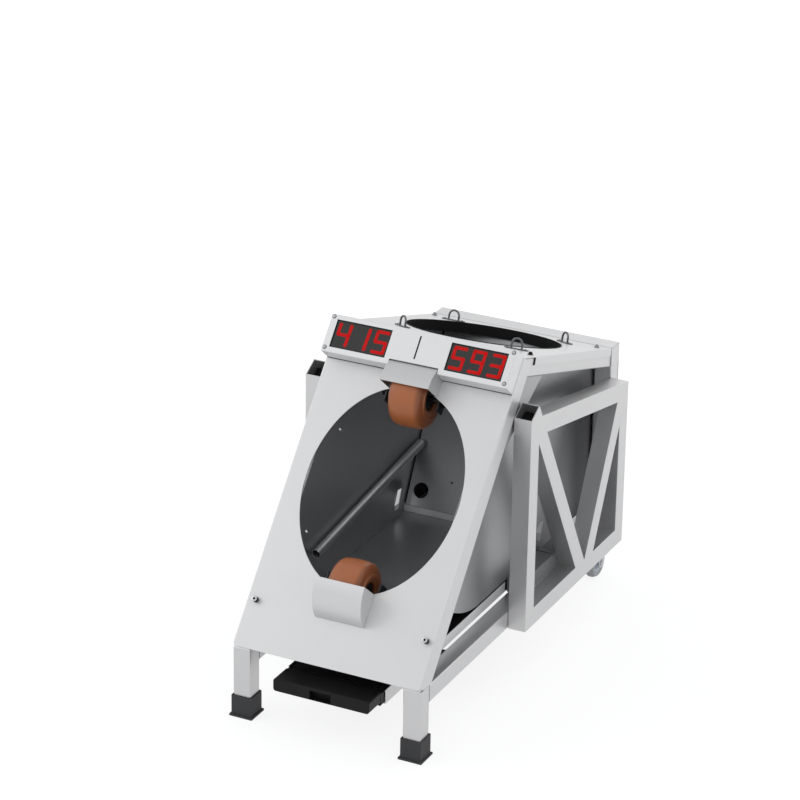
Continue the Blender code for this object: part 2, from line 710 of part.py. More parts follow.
# Sheet panels
def build_front_plate():
    """Leaning plate with side flanges, the ball opening and two wheel notches."""
    bm = bmesh.new()
    profile = channel_profile(FRAME_HALF_WIDTH, PLATE_FLANGE, SHEET, PLATE_BEND)
    add_prism(bm, profile, 0.0, PLATE_LENGTH, lambda a, b, c: on_plate(a, c, b))
    origin = on_plate(0, 0, 0)
    plate = make("front_plate", bm, PANEL, origin)
    through = (-SHEET * 3, SHEET * 3)

    bm = bmesh.new()
    ellipse = [(OPENING_HALF_WIDTH * math.cos(2 * math.pi * i / 96),
                OPENING_S + OPENING_HALF_HEIGHT * math.sin(2 * math.pi * i / 96)) for i in range(96)]
    add_prism(bm, ellipse, *through, plate_place)
    cut(plate, "cut_opening", bm, origin)

    bm = bmesh.new()
    reach_s = math.sqrt(WHEEL_RADIUS ** 2 - WHEEL_N ** 2) + NOTCH_CLEARANCE
    half = NOTCH_HALF_WIDTH
    for edge, inner in ((LOWER_WHEEL_S - reach_s, LOWER_WHEEL_S + 0.02),
                        (UPPER_WHEEL_S + reach_s, UPPER_WHEEL_S - 0.02)):
        outline = [(-half, edge), (half, edge), (half, inner), (-half, inner)]
        add_prism(bm, outline, *through, plate_place)
    cut(plate, "cut_wheel_notches", bm, origin)

    bm = bmesh.new()
    far = 0.01
    for side in (-1, 1):
        edge = side * FRAME_HALF_WIDTH
        turn = arc((edge - side * PLATE_CORNER, PLATE_CORNER), PLATE_CORNER,
                   -math.pi / 2, -math.pi / 2 + side * math.pi / 2, 6)
        outline = turn + [(edge + side * far, PLATE_CORNER), (edge + side * far, -far),
                          (edge - side * PLATE_CORNER, -far)]
        add_prism(bm, outline, -far, PLATE_FLANGE + far, plate_place)
    cut(plate, "cut_plate_corners", bm, origin)

    bm = bmesh.new()
    wide = FRAME_HALF_WIDTH + far
    add_box(bm, (-wide, -TUBE, RAIL_BOTTOM), (wide, TUBE * 3, RAIL_TOP + FIT))
    cut(plate, "cut_plate_foot", bm, origin)

    bm = bmesh.new()
    outline = [(-wide, TOP_START - FIT), (wide, TOP_START - FIT), (wide, TUBE * 2), (-wide, TUBE * 2)]
    add_prism(bm, outline, -far, SHEET + FIT, on_top)
    cut(plate, "cut_plate_head", bm, origin)


def build_top_plate():
    """Sloping lid with short side flanges and the ball hole, and its collar."""
    bm = bmesh.new()
    profile = channel_profile(FRAME_HALF_WIDTH, TOP_FLANGE, SHEET, PLATE_BEND)
    add_prism(bm, profile, TOP_START, TOP_LENGTH, lambda a, b, c: on_top(a, c, b))
    origin = on_top(0, 0, 0)
    plate = make("top_plate", bm, PANEL, origin)

    bm = bmesh.new()
    add_prism(bm, ball_hole_outline(0.0), -SHEET * 3, SHEET * 4, on_top)
    cut(plate, "cut_ball_hole", bm, origin)

    bm = bmesh.new()
    far = 0.02
    for side in (-1, 1):
        inner = side * (FRAME_HALF_WIDTH - PLATE_BEND)
        outer = side * (FRAME_HALF_WIDTH + far)
        outline = [(inner, -far), (outer, -far), (outer, TOP_FLANGE_START), (inner, TOP_FLANGE_START)]
        add_prism(bm, outline, SHEET, far * 2, on_top)
    cut(plate, "cut_flange_fronts", bm, origin)

    bm = bmesh.new()
    outer = ball_hole_outline(FIT)
    inner = ball_hole_outline(FIT + COLLAR_WALL)
    rings = [[bm.verts.new(on_top(x, t, m)) for x, t in loop] for loop, m in
             ((inner, -SHEET), (outer, -SHEET), (outer, COLLAR_DEPTH), (inner, COLLAR_DEPTH))]
    for first, second in zip(rings, rings[1:] + rings[:1]):
        ring_faces(bm, first, second)
    make("ball_collar", bm, BLACK, on_top(0, BALL_HOLE_T, 0), smooth=35)


def ball_hole_outline(inset):
    """Outline (x, t) of the ball hole, moved in by inset."""
    half_x = BALL_HOLE_HALF_WIDTH - inset
    half_t = BALL_HOLE_HALF_LENGTH - inset
    turns = [2 * math.pi * i / 96 for i in range(96)]
    return [(half_x * math.cos(turn), BALL_HOLE_T + half_t * math.sin(turn)) for turn in turns]


def floor_path():
    """Top face of the channel floor in (y, z), from the rear to the opening."""
    centre = (FLOOR_BEND_Y, CHANNEL_FLOOR_Z + FLOOR_BEND_RADIUS)
    path = [(REAR_POST_FRONT - FIT, CHANNEL_FLOOR_Z)]
    path += arc(centre, FLOOR_BEND_RADIUS, -math.pi / 2, -math.pi / 2 - FLOOR_RAMP, 8)
    last = path[-1]
    start = at(0, last[0], last[1])
    way = Vector((0, -math.cos(FLOOR_RAMP), math.sin(FLOOR_RAMP)))
    end = meet(start, way, on_plate(0, 0, SKIN), UP_PLATE)
    path.append((end.y + CENTRE_Y, end.z))
    return path


def back_wall_path():
    """Front face of the channel's back wall in (y, z), from the floor up."""
    foot = CHANNEL_FLOOR_Z + FIT
    path = [(BACK_WALL_Y, foot), (BACK_WALL_Y, foot + BACK_WALL_KICK)]
    start = at(0, *path[-1])
    way = Vector((0, math.sin(BACK_WALL_LEAN), math.cos(BACK_WALL_LEAN)))
    end = meet(start, way, on_top(0, 0, SKIN + FIT), DOWN_TOP)
    path.append((end.y + CENTRE_Y, end.z))
    return path


def build_channel():
    """Side walls, floor, back wall and guide pipes that lead the ball."""
    path = floor_path()
    under = offset_path(path, SHEET)
    rear = (REAR_POST_FRONT - FIT, 0)
    top_rear = meet(at(0, rear[0], 0), UPWARD, on_top(0, 0, SKIN), DOWN_TOP)
    clear_n = SKIN + TUBE + FIT
    clear_s = UPPER_CROSS_S - TUBE / 2 - FIT
    notch_top = meet(on_plate(0, 0, clear_n), UP_PLATE, on_top(0, 0, SKIN), DOWN_TOP)
    front_low = meet(at(0, *under[-2]), Vector((0, -math.cos(FLOOR_RAMP), math.sin(FLOOR_RAMP))),
                     on_plate(0, 0, SKIN), UP_PLATE)
    corners = [front_low, on_plate(0, clear_s, SKIN), on_plate(0, clear_s, clear_n), notch_top, top_rear]
    outline = under[:-1] + [(p.y + CENTRE_Y, p.z) for p in corners]
    for side, name in ((-1, "left"), (1, "right")):
        bm = bmesh.new()
        inner = side * CHANNEL_HALF_WIDTH
        add_prism(bm, outline, inner, inner + side * SHEET, profile_place)
        origin = at(inner, FLOOR_BEND_Y, CHANNEL_FLOOR_Z)
        wall = make("channel_wall_" + name, bm, CHANNEL, origin)
        bm = bmesh.new()
        y1 = BACK_WALL_Y - SIDE_HOLE_TO_WALL
        y0 = y1 - SIDE_HOLE_LENGTH
        z0 = CHANNEL_FLOOR_Z + SIDE_HOLE_UP
        z1 = z0 + SIDE_HOLE_HEIGHT
        window = [(y0 + SIDE_HOLE_FRONT_LEAN, z0), (y1 - SIDE_HOLE_REAR_LEAN, z0), (y1, z1),
                  (y0 + SIDE_HOLE_CORNER * 1.5, z1), (y0, z1 - SIDE_HOLE_CORNER)]
        add_prism(bm, window, inner - SHEET * 3, inner + SHEET * 3, profile_place)
        cut(wall, "cut_window_" + name, bm, origin)

    bm = bmesh.new()
    half = CHANNEL_HALF_WIDTH - FIT
    add_prism(bm, path + under[::-1], -half, half, profile_place)
    origin = at(0, FLOOR_BEND_Y, CHANNEL_FLOOR_Z)
    floor = make("channel_floor", bm, CHANNEL, origin, smooth=20)
    bm = bmesh.new()
    add_box(bm, (-SLOT_HALF_WIDTH, SLOT_FRONT, 0.1), (SLOT_HALF_WIDTH, SLOT_REAR, 0.2))
    cut(floor, "cut_feed_slot", bm, origin)
    bm = bmesh.new()
    far = WHEEL_RADIUS + FLOOR_CLEARANCE
    wide = BRACKET_X + BRACKET_THICK + NUT_LENGTH + FLOOR_CLEARANCE / 2
    outline = [(-wide, -far), (wide, -far), (wide, WHEEL_N + far), (-wide, WHEEL_N + far)]
    low = LOWER_WHEEL_S - far
    add_prism(bm, outline, low, low + far * 2, lambda a, b, c: on_plate(a, c, b))
    cut(floor, "cut_floor_wheel", bm, origin)

    bm = bmesh.new()
    path = back_wall_path()
    add_prism(bm, path + offset_path(path, -SHEET)[::-1], -half, half, profile_place)
    origin = at(0, BACK_WALL_Y, CHANNEL_FLOOR_Z)
    wall = make("back_wall", bm, CHANNEL, origin)
    bm = bmesh.new()
    lean = Vector((0, math.sin(BACK_WALL_LEAN), math.cos(BACK_WALL_LEAN)))
    normal = Vector((0, math.cos(BACK_WALL_LEAN), -math.sin(BACK_WALL_LEAN)))
    for x, up, radius in ((CABLE_HOLE_X, CABLE_HOLE_UP, CABLE_HOLE_RADIUS),
                          (SMALL_HOLE_X, SMALL_HOLE_UP, SMALL_HOLE_RADIUS)):
        spot = at(x, *path[1]) + lean * up
        add_rod(bm, spot - normal * 0.005, spot + normal * 0.01, radius, 24)
    cut(wall, "cut_cable_holes", bm, origin)

    for side, name in ((-1, "left"), (1, "right")):
        x = side * (CHANNEL_HALF_WIDTH - FIT - GUIDE_RADIUS)
        bm = bmesh.new()
        start = at(x, GUIDE_FRONT_Y, GUIDE_FRONT_Z)
        end = at(x, BACK_WALL_Y + GUIDE_PAST_WALL, GUIDE_REAR_Z)
        add_pipe(bm, start, end, GUIDE_RADIUS, GUIDE_WALL)
        make("guide_pipe_" + name, bm, STEEL, start, smooth=35)


def build_deck():
    """Folded deck under the channel and the black mounts beside it."""
    bm = bmesh.new()
    profile = channel_profile(CHANNEL_OUTER, DECK_DEPTH, SHEET, PLATE_BEND)
    add_prism(bm, profile, DECK_FRONT, DECK_REAR, lambda a, b, c: at(a, c, DECK_TOP - b))
    make("deck_plate", bm, PAINT, at(0, DECK_FRONT, DECK_TOP))

    for side, name in ((-1, "left"), (1, "right")):
        inner = side * (CHANNEL_OUTER + FIT)
        outer = side * FRAME_HALF_WIDTH
        x0, x1 = sorted((inner, outer))
        bm = bmesh.new()
        add_box(bm, (x0, MOUNT_FRONT, RAIL_TOP + FIT), (x1, MOUNT_REAR, RAIL_TOP + MOUNT_HEIGHT))
        make("channel_mount_" + name, bm, BLACK, at(inner, MOUNT_FRONT, RAIL_TOP))


def build_rear():
    """Rear cover folded over the upper cross tube, and the control box."""
    bm = bmesh.new()
    y = FRAME_LENGTH + FIT
    z = REAR_POST_TOP + FIT
    path = [(y, RAIL_BOTTOM), (y, z), (REAR_POST_FRONT + FIT, z)]
    half = FRAME_HALF_WIDTH
    add_prism(bm, path + offset_path(path, -SHEET)[::-1], -half, half, profile_place)
    make("rear_cover", bm, PANEL, at(0, y, RAIL_BOTTOM))

    bm = bmesh.new()
    y = REAR_POST_FRONT - FIT * 2
    low = CHANNEL_FLOOR_Z + FIT
    add_box(bm, (-CONTROL_HALF_WIDTH, y - CONTROL_DEPTH, low), (CONTROL_HALF_WIDTH, y, low + CONTROL_HEIGHT))
    box = make("control_box", bm, BLACK, at(0, y, low))
    edge = box.modifiers.new("edges", "BEVEL")
    edge.width = 0.002
    edge.segments = 2


# Wheels, their hoods and the display
def build_hood(name, wheel_s, way):
    """Curved sheet with two cheeks; way is the side of the wheel it covers."""
    bm = bmesh.new()
    face = -FIT
    for_outer = hood_outline(HOOD_RADIUS, face, 0.0, wheel_s, way)
    half = HOOD_HALF_WIDTH
    add_prism(bm, for_outer, -half, half, lambda n, s, x: on_plate(x, s, n))
    origin = on_plate(0, wheel_s, 0)
    hood = make(name, bm, PANEL, origin, smooth=35)
    bm = bmesh.new()
    hollow = hood_outline(HOOD_RADIUS - SHEET, 0.005, 0.005, wheel_s, way)
    half = HOOD_HALF_WIDTH - SHEET
    add_prism(bm, hollow, -half, half, lambda n, s, x: on_plate(x, s, n))
    cut(hood, "cut_" + name, bm, origin)


def hood_outline(radius, face, past, wheel_s, way):
    """Sector (n, s) about a wheel's axis, closed along n = face."""
    first = math.acos((face - WHEEL_N) / radius)
    points = arc((WHEEL_N, 0), radius, first, math.pi, 14)
    points += [(WHEEL_N - radius, -past), (face, -past)] if past else [(face, 0.0)]
    return [(n, wheel_s + way * s) for n, s in points]


def build_wheel(prefix, wheel_s, way):
    """Tyre, hub motor, axle and bracket plates of one shooting wheel."""
    centre = on_plate(0, wheel_s, WHEEL_N)
    bm = bmesh.new()
    half = WHEEL_HALF_WIDTH
    right = [(TREAD_HALF_WIDTH, WHEEL_RADIUS), (half - 0.004, WHEEL_RADIUS - 0.008),
             (half - 0.002, WHEEL_RADIUS - 0.012), (half - 0.002, LIP_RADIUS), (half, LIP_RADIUS - 0.0012),
             (half, LIP_RADIUS - 0.0045), (half - 0.0035, WHEEL_BORE)]
    profile = right + [(-along, radius) for along, radius in right[::-1]]
    add_lathe(bm, profile, centre, ACROSS, 48, closed=True)
    make(prefix + "_tyre", bm, TYRE, centre, smooth=30)

    bm = bmesh.new()
    radius = WHEEL_BORE - FIT
    inner = AXLE_RADIUS + FIT
    half = HUB_HALF_LENGTH
    profile = [(half, inner), (half, radius), (-half, radius), (-half, inner)]
    add_lathe(bm, profile, centre, ACROSS, 32, closed=True)
    make(prefix + "_hub_motor", bm, DARK_STEEL, centre, smooth=35)

    bm = bmesh.new()
    plate_out = BRACKET_X + BRACKET_THICK + FIT
    end = plate_out + NUT_LENGTH
    profile = [(-end, 0), (-end, NUT_RADIUS), (-plate_out, NUT_RADIUS), (-plate_out, AXLE_RADIUS),
               (plate_out, AXLE_RADIUS), (plate_out, NUT_RADIUS), (end, NUT_RADIUS), (end, 0)]
    add_lathe(bm, profile, centre, ACROSS, 24)
    make(prefix + "_axle", bm, STEEL, centre, smooth=35)

    cross_s = (LOWER_CROSS_S + TUBE / 2 + FIT) if way < 0 else (UPPER_CROSS_S - TUBE / 2 - FIT)
    n0 = BRACKET_FRONT_N
    n1 = n0 + BRACKET_WIDTH
    bm = bmesh.new()
    out = BRACKET_X + BRACKET_THICK
    toe = cross_s - way * BRACKET_THICK
    tip = wheel_s - way * BRACKET_PAST_AXLE
    outline = [(-out, cross_s), (out, cross_s), (out, tip), (BRACKET_X, tip), (BRACKET_X, toe),
               (-BRACKET_X, toe), (-BRACKET_X, tip), (-out, tip)]
    add_prism(bm, outline, n0, n1, plate_place)
    bracket = make(prefix + "_bracket", bm, DARK_STEEL, on_plate(0, cross_s, n0))
    bm = bmesh.new()
    add_rod(bm, centre - ACROSS * 0.06, centre + ACROSS * 0.06, AXLE_RADIUS + FIT, 24)
    cut(bracket, "cut_" + prefix + "_axle", bm, centre)


def build_display():
    """Open-backed housing and the two counters behind its windows."""
    bm = bmesh.new()
    half = DISPLAY_HALF_WIDTH
    low = DISPLAY_BOTTOM
    high = DISPLAY_TOP
    box = [(-half, low), (half, low), (half, high), (-half, high)]
    add_prism(bm, box, -DISPLAY_DEPTH, -FIT, plate_place)
    origin = on_plate(0, low, 0)
    housing = make("display_housing", bm, PANEL, origin)
    bm = bmesh.new()
    inner = half - SHEET
    hollow = [(-inner, low + SHEET), (inner, low + SHEET), (inner, high - SHEET), (-inner, high - SHEET)]
    add_prism(bm, hollow, SHEET - DISPLAY_DEPTH, 0.01, plate_place)
    cut(housing, "cut_display_hollow", bm, origin)
    bm = bmesh.new()
    notch = HOOD_HALF_WIDTH + FIT * 2
    depth = WHEEL_N + DISPLAY_DEPTH - SHEET
    notch_top = UPPER_WHEEL_S + math.sqrt(HOOD_RADIUS ** 2 - depth ** 2) + 0.0008
    outline = [(-notch, low - 0.01), (notch, low - 0.01), (notch, notch_top), (-notch, notch_top)]
    add_prism(bm, outline, -DISPLAY_DEPTH - 0.01, 0.01, plate_place)
    for side in (-1, 1):
        a, b = sorted((side * WINDOW_INNER, side * WINDOW_OUTER))
        outline = [(a, WINDOW_BOTTOM), (b, WINDOW_BOTTOM), (b, WINDOW_TOP), (a, WINDOW_TOP)]
        add_prism(bm, outline, -DISPLAY_DEPTH - 0.01, SHEET * 2 - DISPLAY_DEPTH, plate_place)
    cut(housing, "cut_display_openings", bm, origin)

    glass_face = SHEET + FIT - DISPLAY_DEPTH
    for side, name in ((-1, "left"), (1, "right")):
        a, b = sorted((side * (WINDOW_INNER - WINDOW_LAP), side * (WINDOW_OUTER + WINDOW_LAP)))
        outline = [(a, WINDOW_BOTTOM - WINDOW_LAP), (b, WINDOW_BOTTOM - WINDOW_LAP),
                   (b, WINDOW_TOP + WINDOW_LAP), (a, WINDOW_TOP + WINDOW_LAP)]
        bm = bmesh.new()
        add_prism(bm, outline, glass_face, glass_face + WINDOW_THICK, plate_place)
        make("counter_" + name, bm, GLASS, on_plate((a + b) / 2, WINDOW_BOTTOM, glass_face))


# Net eyes
def build_eyes():
    """Four bent wire eyes on base plates, for the clips of the net."""
    for side, across in ((-1, "left"), (1, "right")):
        for way, along in ((1, "front"), (-1, "rear")):
            spot = along + "_" + across
            turn = EYE_TURN if (side < 0) == (along == "front") else 0.0
            x = side * (FRAME_HALF_WIDTH - EYE_FROM_SIDE[spot])
            t = EYE_FROM[along] + way * EYE_PAST_HOLE[spot]
            build_eye("net_eye_" + spot, on_top(x, t, -FIT), turn)


def build_eye(name, spot, turn):
    """Base plate and bent wire loop, upright on the top plate and turned about its normal."""
    up = -BELOW_TOP
    wide = ACROSS * math.cos(turn) - DOWN_TOP * math.sin(turn)
    deep = DOWN_TOP * math.cos(turn) + ACROSS * math.sin(turn)
    width, depth, thick = EYE_BASE
    half_w = width / 2
    half_d = depth / 2
    outline = [(-half_w, -half_d), (half_w, -half_d), (half_w, half_d), (-half_w, half_d)]
    bm = bmesh.new()
    add_prism(bm, outline, 0, thick, lambda a, b, c: spot + wide * a + deep * b + up * c)
    eye = make(name, bm, STEEL, spot, smooth=40)
    path = [(-EYE_RADIUS, 0.0)]
    path += [(a, b + EYE_LEG) for a, b in arc((0, 0), EYE_RADIUS, math.pi, 0, 12)]
    path += [(EYE_RADIUS, 0.0)]
    base = spot + up * thick * 0.5
    bm = bmesh.new()
    rings = []
    for i, (a, b) in enumerate(path):
        before = path[max(i - 1, 0)]
        after = path[min(i + 1, len(path) - 1)]
        way = (wide * (after[0] - before[0]) + up * (after[1] - before[1])).normalized()
        other = way.cross(deep).normalized()
        ring = []
        for k in range(10):
            angle = 2 * math.pi * k / 10
            spoke = deep * math.cos(angle) + other * math.sin(angle)
            ring.append(bm.verts.new(base + wide * a + up * b + spoke * EYE_WIRE))
        rings.append(ring)
    for first, second in zip(rings, rings[1:]):
        ring_faces(bm, first, second)
    bm.faces.new(rings[0])
    bm.faces.new(rings[-1])
    cut(eye, "join_" + name, bm, spot, "UNION")


# Battery and its tray
def build_battery():
    """Sliding battery, a cap with a finger recess on a body, and its fixed tray."""
    half = BATTERY_HALF_WIDTH
    bm = bmesh.new()
    rear = BATTERY_FRONT + BATTERY_CAP_LENGTH
    low = (-half, BATTERY_FRONT, BATTERY_CAP_BOTTOM)
    add_box(bm, low, (half, rear, BATTERY_CAP_TOP))
    bmesh.ops.recalc_face_normals(bm, faces=bm.faces)
    bmesh.ops.bevel(bm, geom=list(bm.edges), offset=BATTERY_CAP_BEVEL, segments=2, affect="EDGES")
    origin = at(0, BATTERY_FRONT, BATTERY_CAP_BOTTOM)
    cap = make("battery_cap", bm, BLACK, origin, smooth=35)
    bm = bmesh.new()
    add_box(bm, (RECESS_LEFT, BATTERY_FRONT - 0.01, BATTERY_CAP_BOTTOM + RECESS_SILL),
            (RECESS_RIGHT, BATTERY_FRONT + RECESS_DEPTH, BATTERY_CAP_TOP - RECESS_LID))
    cut(cap, "cut_finger_recess", bm, origin)

    bm = bmesh.new()
    add_box(bm, (-half, rear + FIT, BATTERY_BOTTOM), (half, BATTERY_FRONT + BATTERY_LENGTH, BATTERY_TOP))
    make("battery_body", bm, BLACK, at(0, rear, BATTERY_BOTTOM))

    bm = bmesh.new()
    rail = RAIL_X - TUBE / 2 - FIT
    inner = half + FIT
    out = inner + SHEET
    top = BATTERY_TOP + FIT
    low = BATTERY_BOTTOM - FIT - SHEET
    right = [(rail - SHEET, TRAY_FLANGE_TOP), (rail, TRAY_FLANGE_TOP), (rail, top), (out, top), (out, low),
             (out - TRAY_LIP, low), (out - TRAY_LIP, low + SHEET), (inner, low + SHEET), (inner, top)]
    outline = right + [(-a, b) for a, b in right[::-1]]
    outline = outline + [(SHEET - rail, top + SHEET), (rail - SHEET, top + SHEET)]
    add_prism(bm, outline, TRAY_FRONT, TRAY_REAR, lambda a, b, c: at(a, c, b))
    origin = at(0, TRAY_FRONT, top)
    tray = make("battery_tray", bm, PAINT, origin)
    bm = bmesh.new()
    add_box(bm, (-rail - 0.01, TRAY_FRONT - 0.01, top), (rail + 0.01, TRAY_TOP_FRONT, RAIL_TOP + 0.01))
    cut(tray, "cut_tray_front", bm, origin)


# Ball feeder
def build_feeder():
    """Gear housing under the channel floor and the arm that nudges the ball."""
    top = DECK_TOP
    low = top - FEEDER_HEIGHT
    bm = bmesh.new()
    add_box(bm, (-FEEDER_HALF_WIDTH, FEEDER_FRONT, low), (FEEDER_HALF_WIDTH, FEEDER_REAR, top))
    origin = at(0, FEEDER_FRONT, low)
    box = make("feeder_housing", bm, BLACK, origin)
    bm = bmesh.new()
    pocket = low + FEEDER_WALL
    add_box(bm, (-SLOT_HALF_WIDTH, SLOT_FRONT, pocket), (SLOT_HALF_WIDTH, SLOT_REAR, top + 0.01))
    cut(box, "cut_feeder_pocket", bm, origin)

    bm = bmesh.new()
    pivot_z = CHANNEL_FLOOR_Z - ARM_DROP
    reach_y = ARM_LENGTH - ARM_HALF_HEIGHT
    outline = arc((ARM_PIVOT_Y, pivot_z), ARM_HALF_HEIGHT, math.pi / 2, math.pi * 1.5, 8)
    outline += arc((ARM_PIVOT_Y + reach_y, pivot_z), ARM_HALF_HEIGHT, -math.pi / 2, math.pi / 2, 8)
    add_prism(bm, outline, -ARM_HALF_WIDTH, ARM_HALF_WIDTH, profile_place)
    pin = SLOT_HALF_WIDTH - FIT
    pivot = at(0, ARM_PIVOT_Y, pivot_z)
    arm = make("feeder_arm", bm, STEEL, pivot)
    bm = bmesh.new()
    add_rod(bm, pivot - ACROSS * pin, pivot + ACROSS * pin, 0.003, 16)
    cut(arm, "join_feeder_pin", bm, pivot, "UNION")


# Casters
def build_caster(name, x):
    """Fixed plate and race, swivelling fork, wheel and brake pedal."""
    width, length, thick = CASTER_PLATE
    swivel = at(x, CASTER_SWIVEL_Y, 0)
    axle = at(x, CASTER_AXLE_Y, CASTER_RADIUS)
    crown_top = CASTER_RADIUS * 2 + CASTER_CROWN_GAP + CASTER_FORK_WALL
    bm = bmesh.new()
    y0 = CASTER_SWIVEL_Y - length / 2
    y1 = CASTER_SWIVEL_Y + length / 2
    add_box(bm, (x - width / 2, y0, CASTER_TOP - thick), (x + width / 2, y1, CASTER_TOP))
    origin = at(x, CASTER_SWIVEL_Y, CASTER_TOP)
    plate = make(name + "_plate", bm, STEEL, origin, smooth=35)
    bm = bmesh.new()
    race = CASTER_RACE_RADIUS
    low = crown_top + FIT
    high = CASTER_TOP - thick / 2
    neck = race * 0.6
    profile = [(low, 0), (low, race - 0.002), (low + 0.002, race), (low + 0.008, race), (low + 0.011, neck),
               (high - 0.004, neck), (high - 0.003, race), (high, race), (high, 0)]
    add_lathe(bm, profile, swivel, UPWARD, 32)
    cut(plate, "join_" + name + "_race", bm, swivel, "UNION")

    bm = bmesh.new()
    gap = CASTER_FORK_GAP
    out = gap + CASTER_FORK_WALL
    crown_low = crown_top - CASTER_FORK_WALL
    section = [(-out, 0.02), (-gap, 0.02), (-gap, crown_low), (gap, crown_low), (gap, 0.02), (out, 0.02),
               (out, crown_top), (-out, crown_top)]
    front = CASTER_SWIVEL_Y - race
    pivot_y = CASTER_AXLE_Y + PEDAL_PIVOT_BACK
    back = pivot_y + PEDAL_EAR
    add_prism(bm, section, front, back, lambda a, b, c: at(x + a, c, b))
    origin = at(x, CASTER_SWIVEL_Y, crown_top)
    fork = make(name + "_fork", bm, STEEL, origin)
    bm = bmesh.new()
    ear = 0.010
    bottom = arc((CASTER_AXLE_Y, CASTER_RADIUS), ear, math.radians(200), math.radians(380), 10)
    outline = [(front - 0.01, crown_top + 0.01), (front - 0.01, crown_low - 0.006)] + bottom
    outline += [(back + 0.01, crown_low - PEDAL_EAR * 2), (back + 0.01, crown_top + 0.01)]
    add_prism(bm, outline, x - 0.03, x + 0.03, profile_place)
    cut(fork, "trim_" + name + "_fork", bm, origin, "INTERSECT")
    bm = bmesh.new()
    far = out + CASTER_NUT
    add_rod(bm, axle - ACROSS * far, axle + ACROSS * far, CASTER_AXLE_RADIUS, 16)
    cut(fork, "join_" + name + "_axle", bm, axle, "UNION")

    bm = bmesh.new()
    half = CASTER_HALF_WIDTH
    radius = CASTER_RADIUS
    bore = CASTER_AXLE_RADIUS + FIT
    side = [(half, bore), (half, 0.010), (half - 0.003, 0.012), (half - 0.003, radius - 0.010),
            (half, radius - 0.007), (half - 0.0025, radius)]
    profile = side + [(-along, around) for along, around in side[::-1]]
    add_lathe(bm, profile, axle, ACROSS, 32, closed=True)
    make(name + "_wheel", bm, GREY_TYRE, axle, smooth=35)

    bm = bmesh.new()
    pivot_z = crown_low - PEDAL_EAR + 0.001
    outline = arc((pivot_y, pivot_z), 0.003, math.pi / 2, math.pi * 1.5, 6)
    tip_y = MACHINE_REAR
    outline += [(tip_y - 0.008, pivot_z - 0.011), (tip_y, pivot_z - 0.010), (tip_y, pivot_z - 0.0075),
                (tip_y - 0.008, pivot_z - 0.0082), (pivot_y + 0.004, pivot_z + 0.003)]
    half = gap - FIT
    add_prism(bm, outline, x - half, x + half, profile_place)
    make(name + "_brake", bm, STEEL, at(x, pivot_y, pivot_z), smooth=35)


build_base()
build_upper_frame()
build_trusses()
build_front_plate()
build_top_plate()
build_channel()
build_deck()
build_rear()
build_hood("lower_hood", LOWER_WHEEL_S, -1)
build_hood("upper_hood", UPPER_WHEEL_S, 1)
build_wheel("lower", LOWER_WHEEL_S, -1)
build_wheel("upper", UPPER_WHEEL_S, 1)
build_display()
build_eyes()
build_battery()
build_feeder()
for caster_side, caster_name in ((-1, "caster_left"), (1, "caster_right")):
    build_caster(caster_name, caster_side * (RAIL_X - CASTER_INSET))
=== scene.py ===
"""Basketball shooting machine, dressed for its studio picture.

X runs to the machine's right, Y to its rear and Z up, in metres.  Sizes are
counted from the front face of the legs and moved so that the origin lies on
the floor under the middle of the machine.
"""

import logging
from dataclasses import dataclass
from enum import Enum
from functools import cache
from math import acos, atan2, cos, pi, radians, sin, sqrt, tan, tau
from typing import Any, Callable, Iterable, Optional, Sequence

import bmesh
import bpy
from mathutils import Matrix, Vector


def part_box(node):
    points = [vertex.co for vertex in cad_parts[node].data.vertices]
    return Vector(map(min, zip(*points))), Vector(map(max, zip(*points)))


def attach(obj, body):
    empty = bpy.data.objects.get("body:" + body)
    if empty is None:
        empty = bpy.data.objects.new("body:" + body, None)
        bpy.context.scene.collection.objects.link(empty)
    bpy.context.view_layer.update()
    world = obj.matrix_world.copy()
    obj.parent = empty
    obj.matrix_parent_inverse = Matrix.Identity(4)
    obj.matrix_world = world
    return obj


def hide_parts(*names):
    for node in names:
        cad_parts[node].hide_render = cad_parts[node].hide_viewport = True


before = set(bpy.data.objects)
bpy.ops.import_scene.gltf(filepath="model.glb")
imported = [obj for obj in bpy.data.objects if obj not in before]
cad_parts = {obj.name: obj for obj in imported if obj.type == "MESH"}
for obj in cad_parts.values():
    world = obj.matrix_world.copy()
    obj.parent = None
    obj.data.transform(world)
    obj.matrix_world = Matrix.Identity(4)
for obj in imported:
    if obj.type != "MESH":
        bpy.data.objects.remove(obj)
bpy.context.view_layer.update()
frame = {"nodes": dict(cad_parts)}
LOG = logging.getLogger("shooting_machine")

Point = tuple[float, float]
Line = tuple[Vector, Vector]
Sizes = tuple[float, ...]
Piece = bpy.types.Object
Test = Callable[[bmesh.types.BMEdge], bool]
QUARTER = pi / 2


class Side(Enum):
    """The two sides of the machine, with their sign along X."""

    LEFT = -1
    RIGHT = 1

    @property
    def word(self) -> str:
        """Name of the side as the nodes spell it."""
        return self.name.lower()

    def span(self, inner: float, outer: float) -> list[float]:
        """The two places across the machine, on this side, lowest first."""
        return sorted((self.value * inner, self.value * outer))


class Turn(Enum):
    """Which way round a wheel hood goes: up the plate or down it."""

    DOWN = -1
    UP = 1


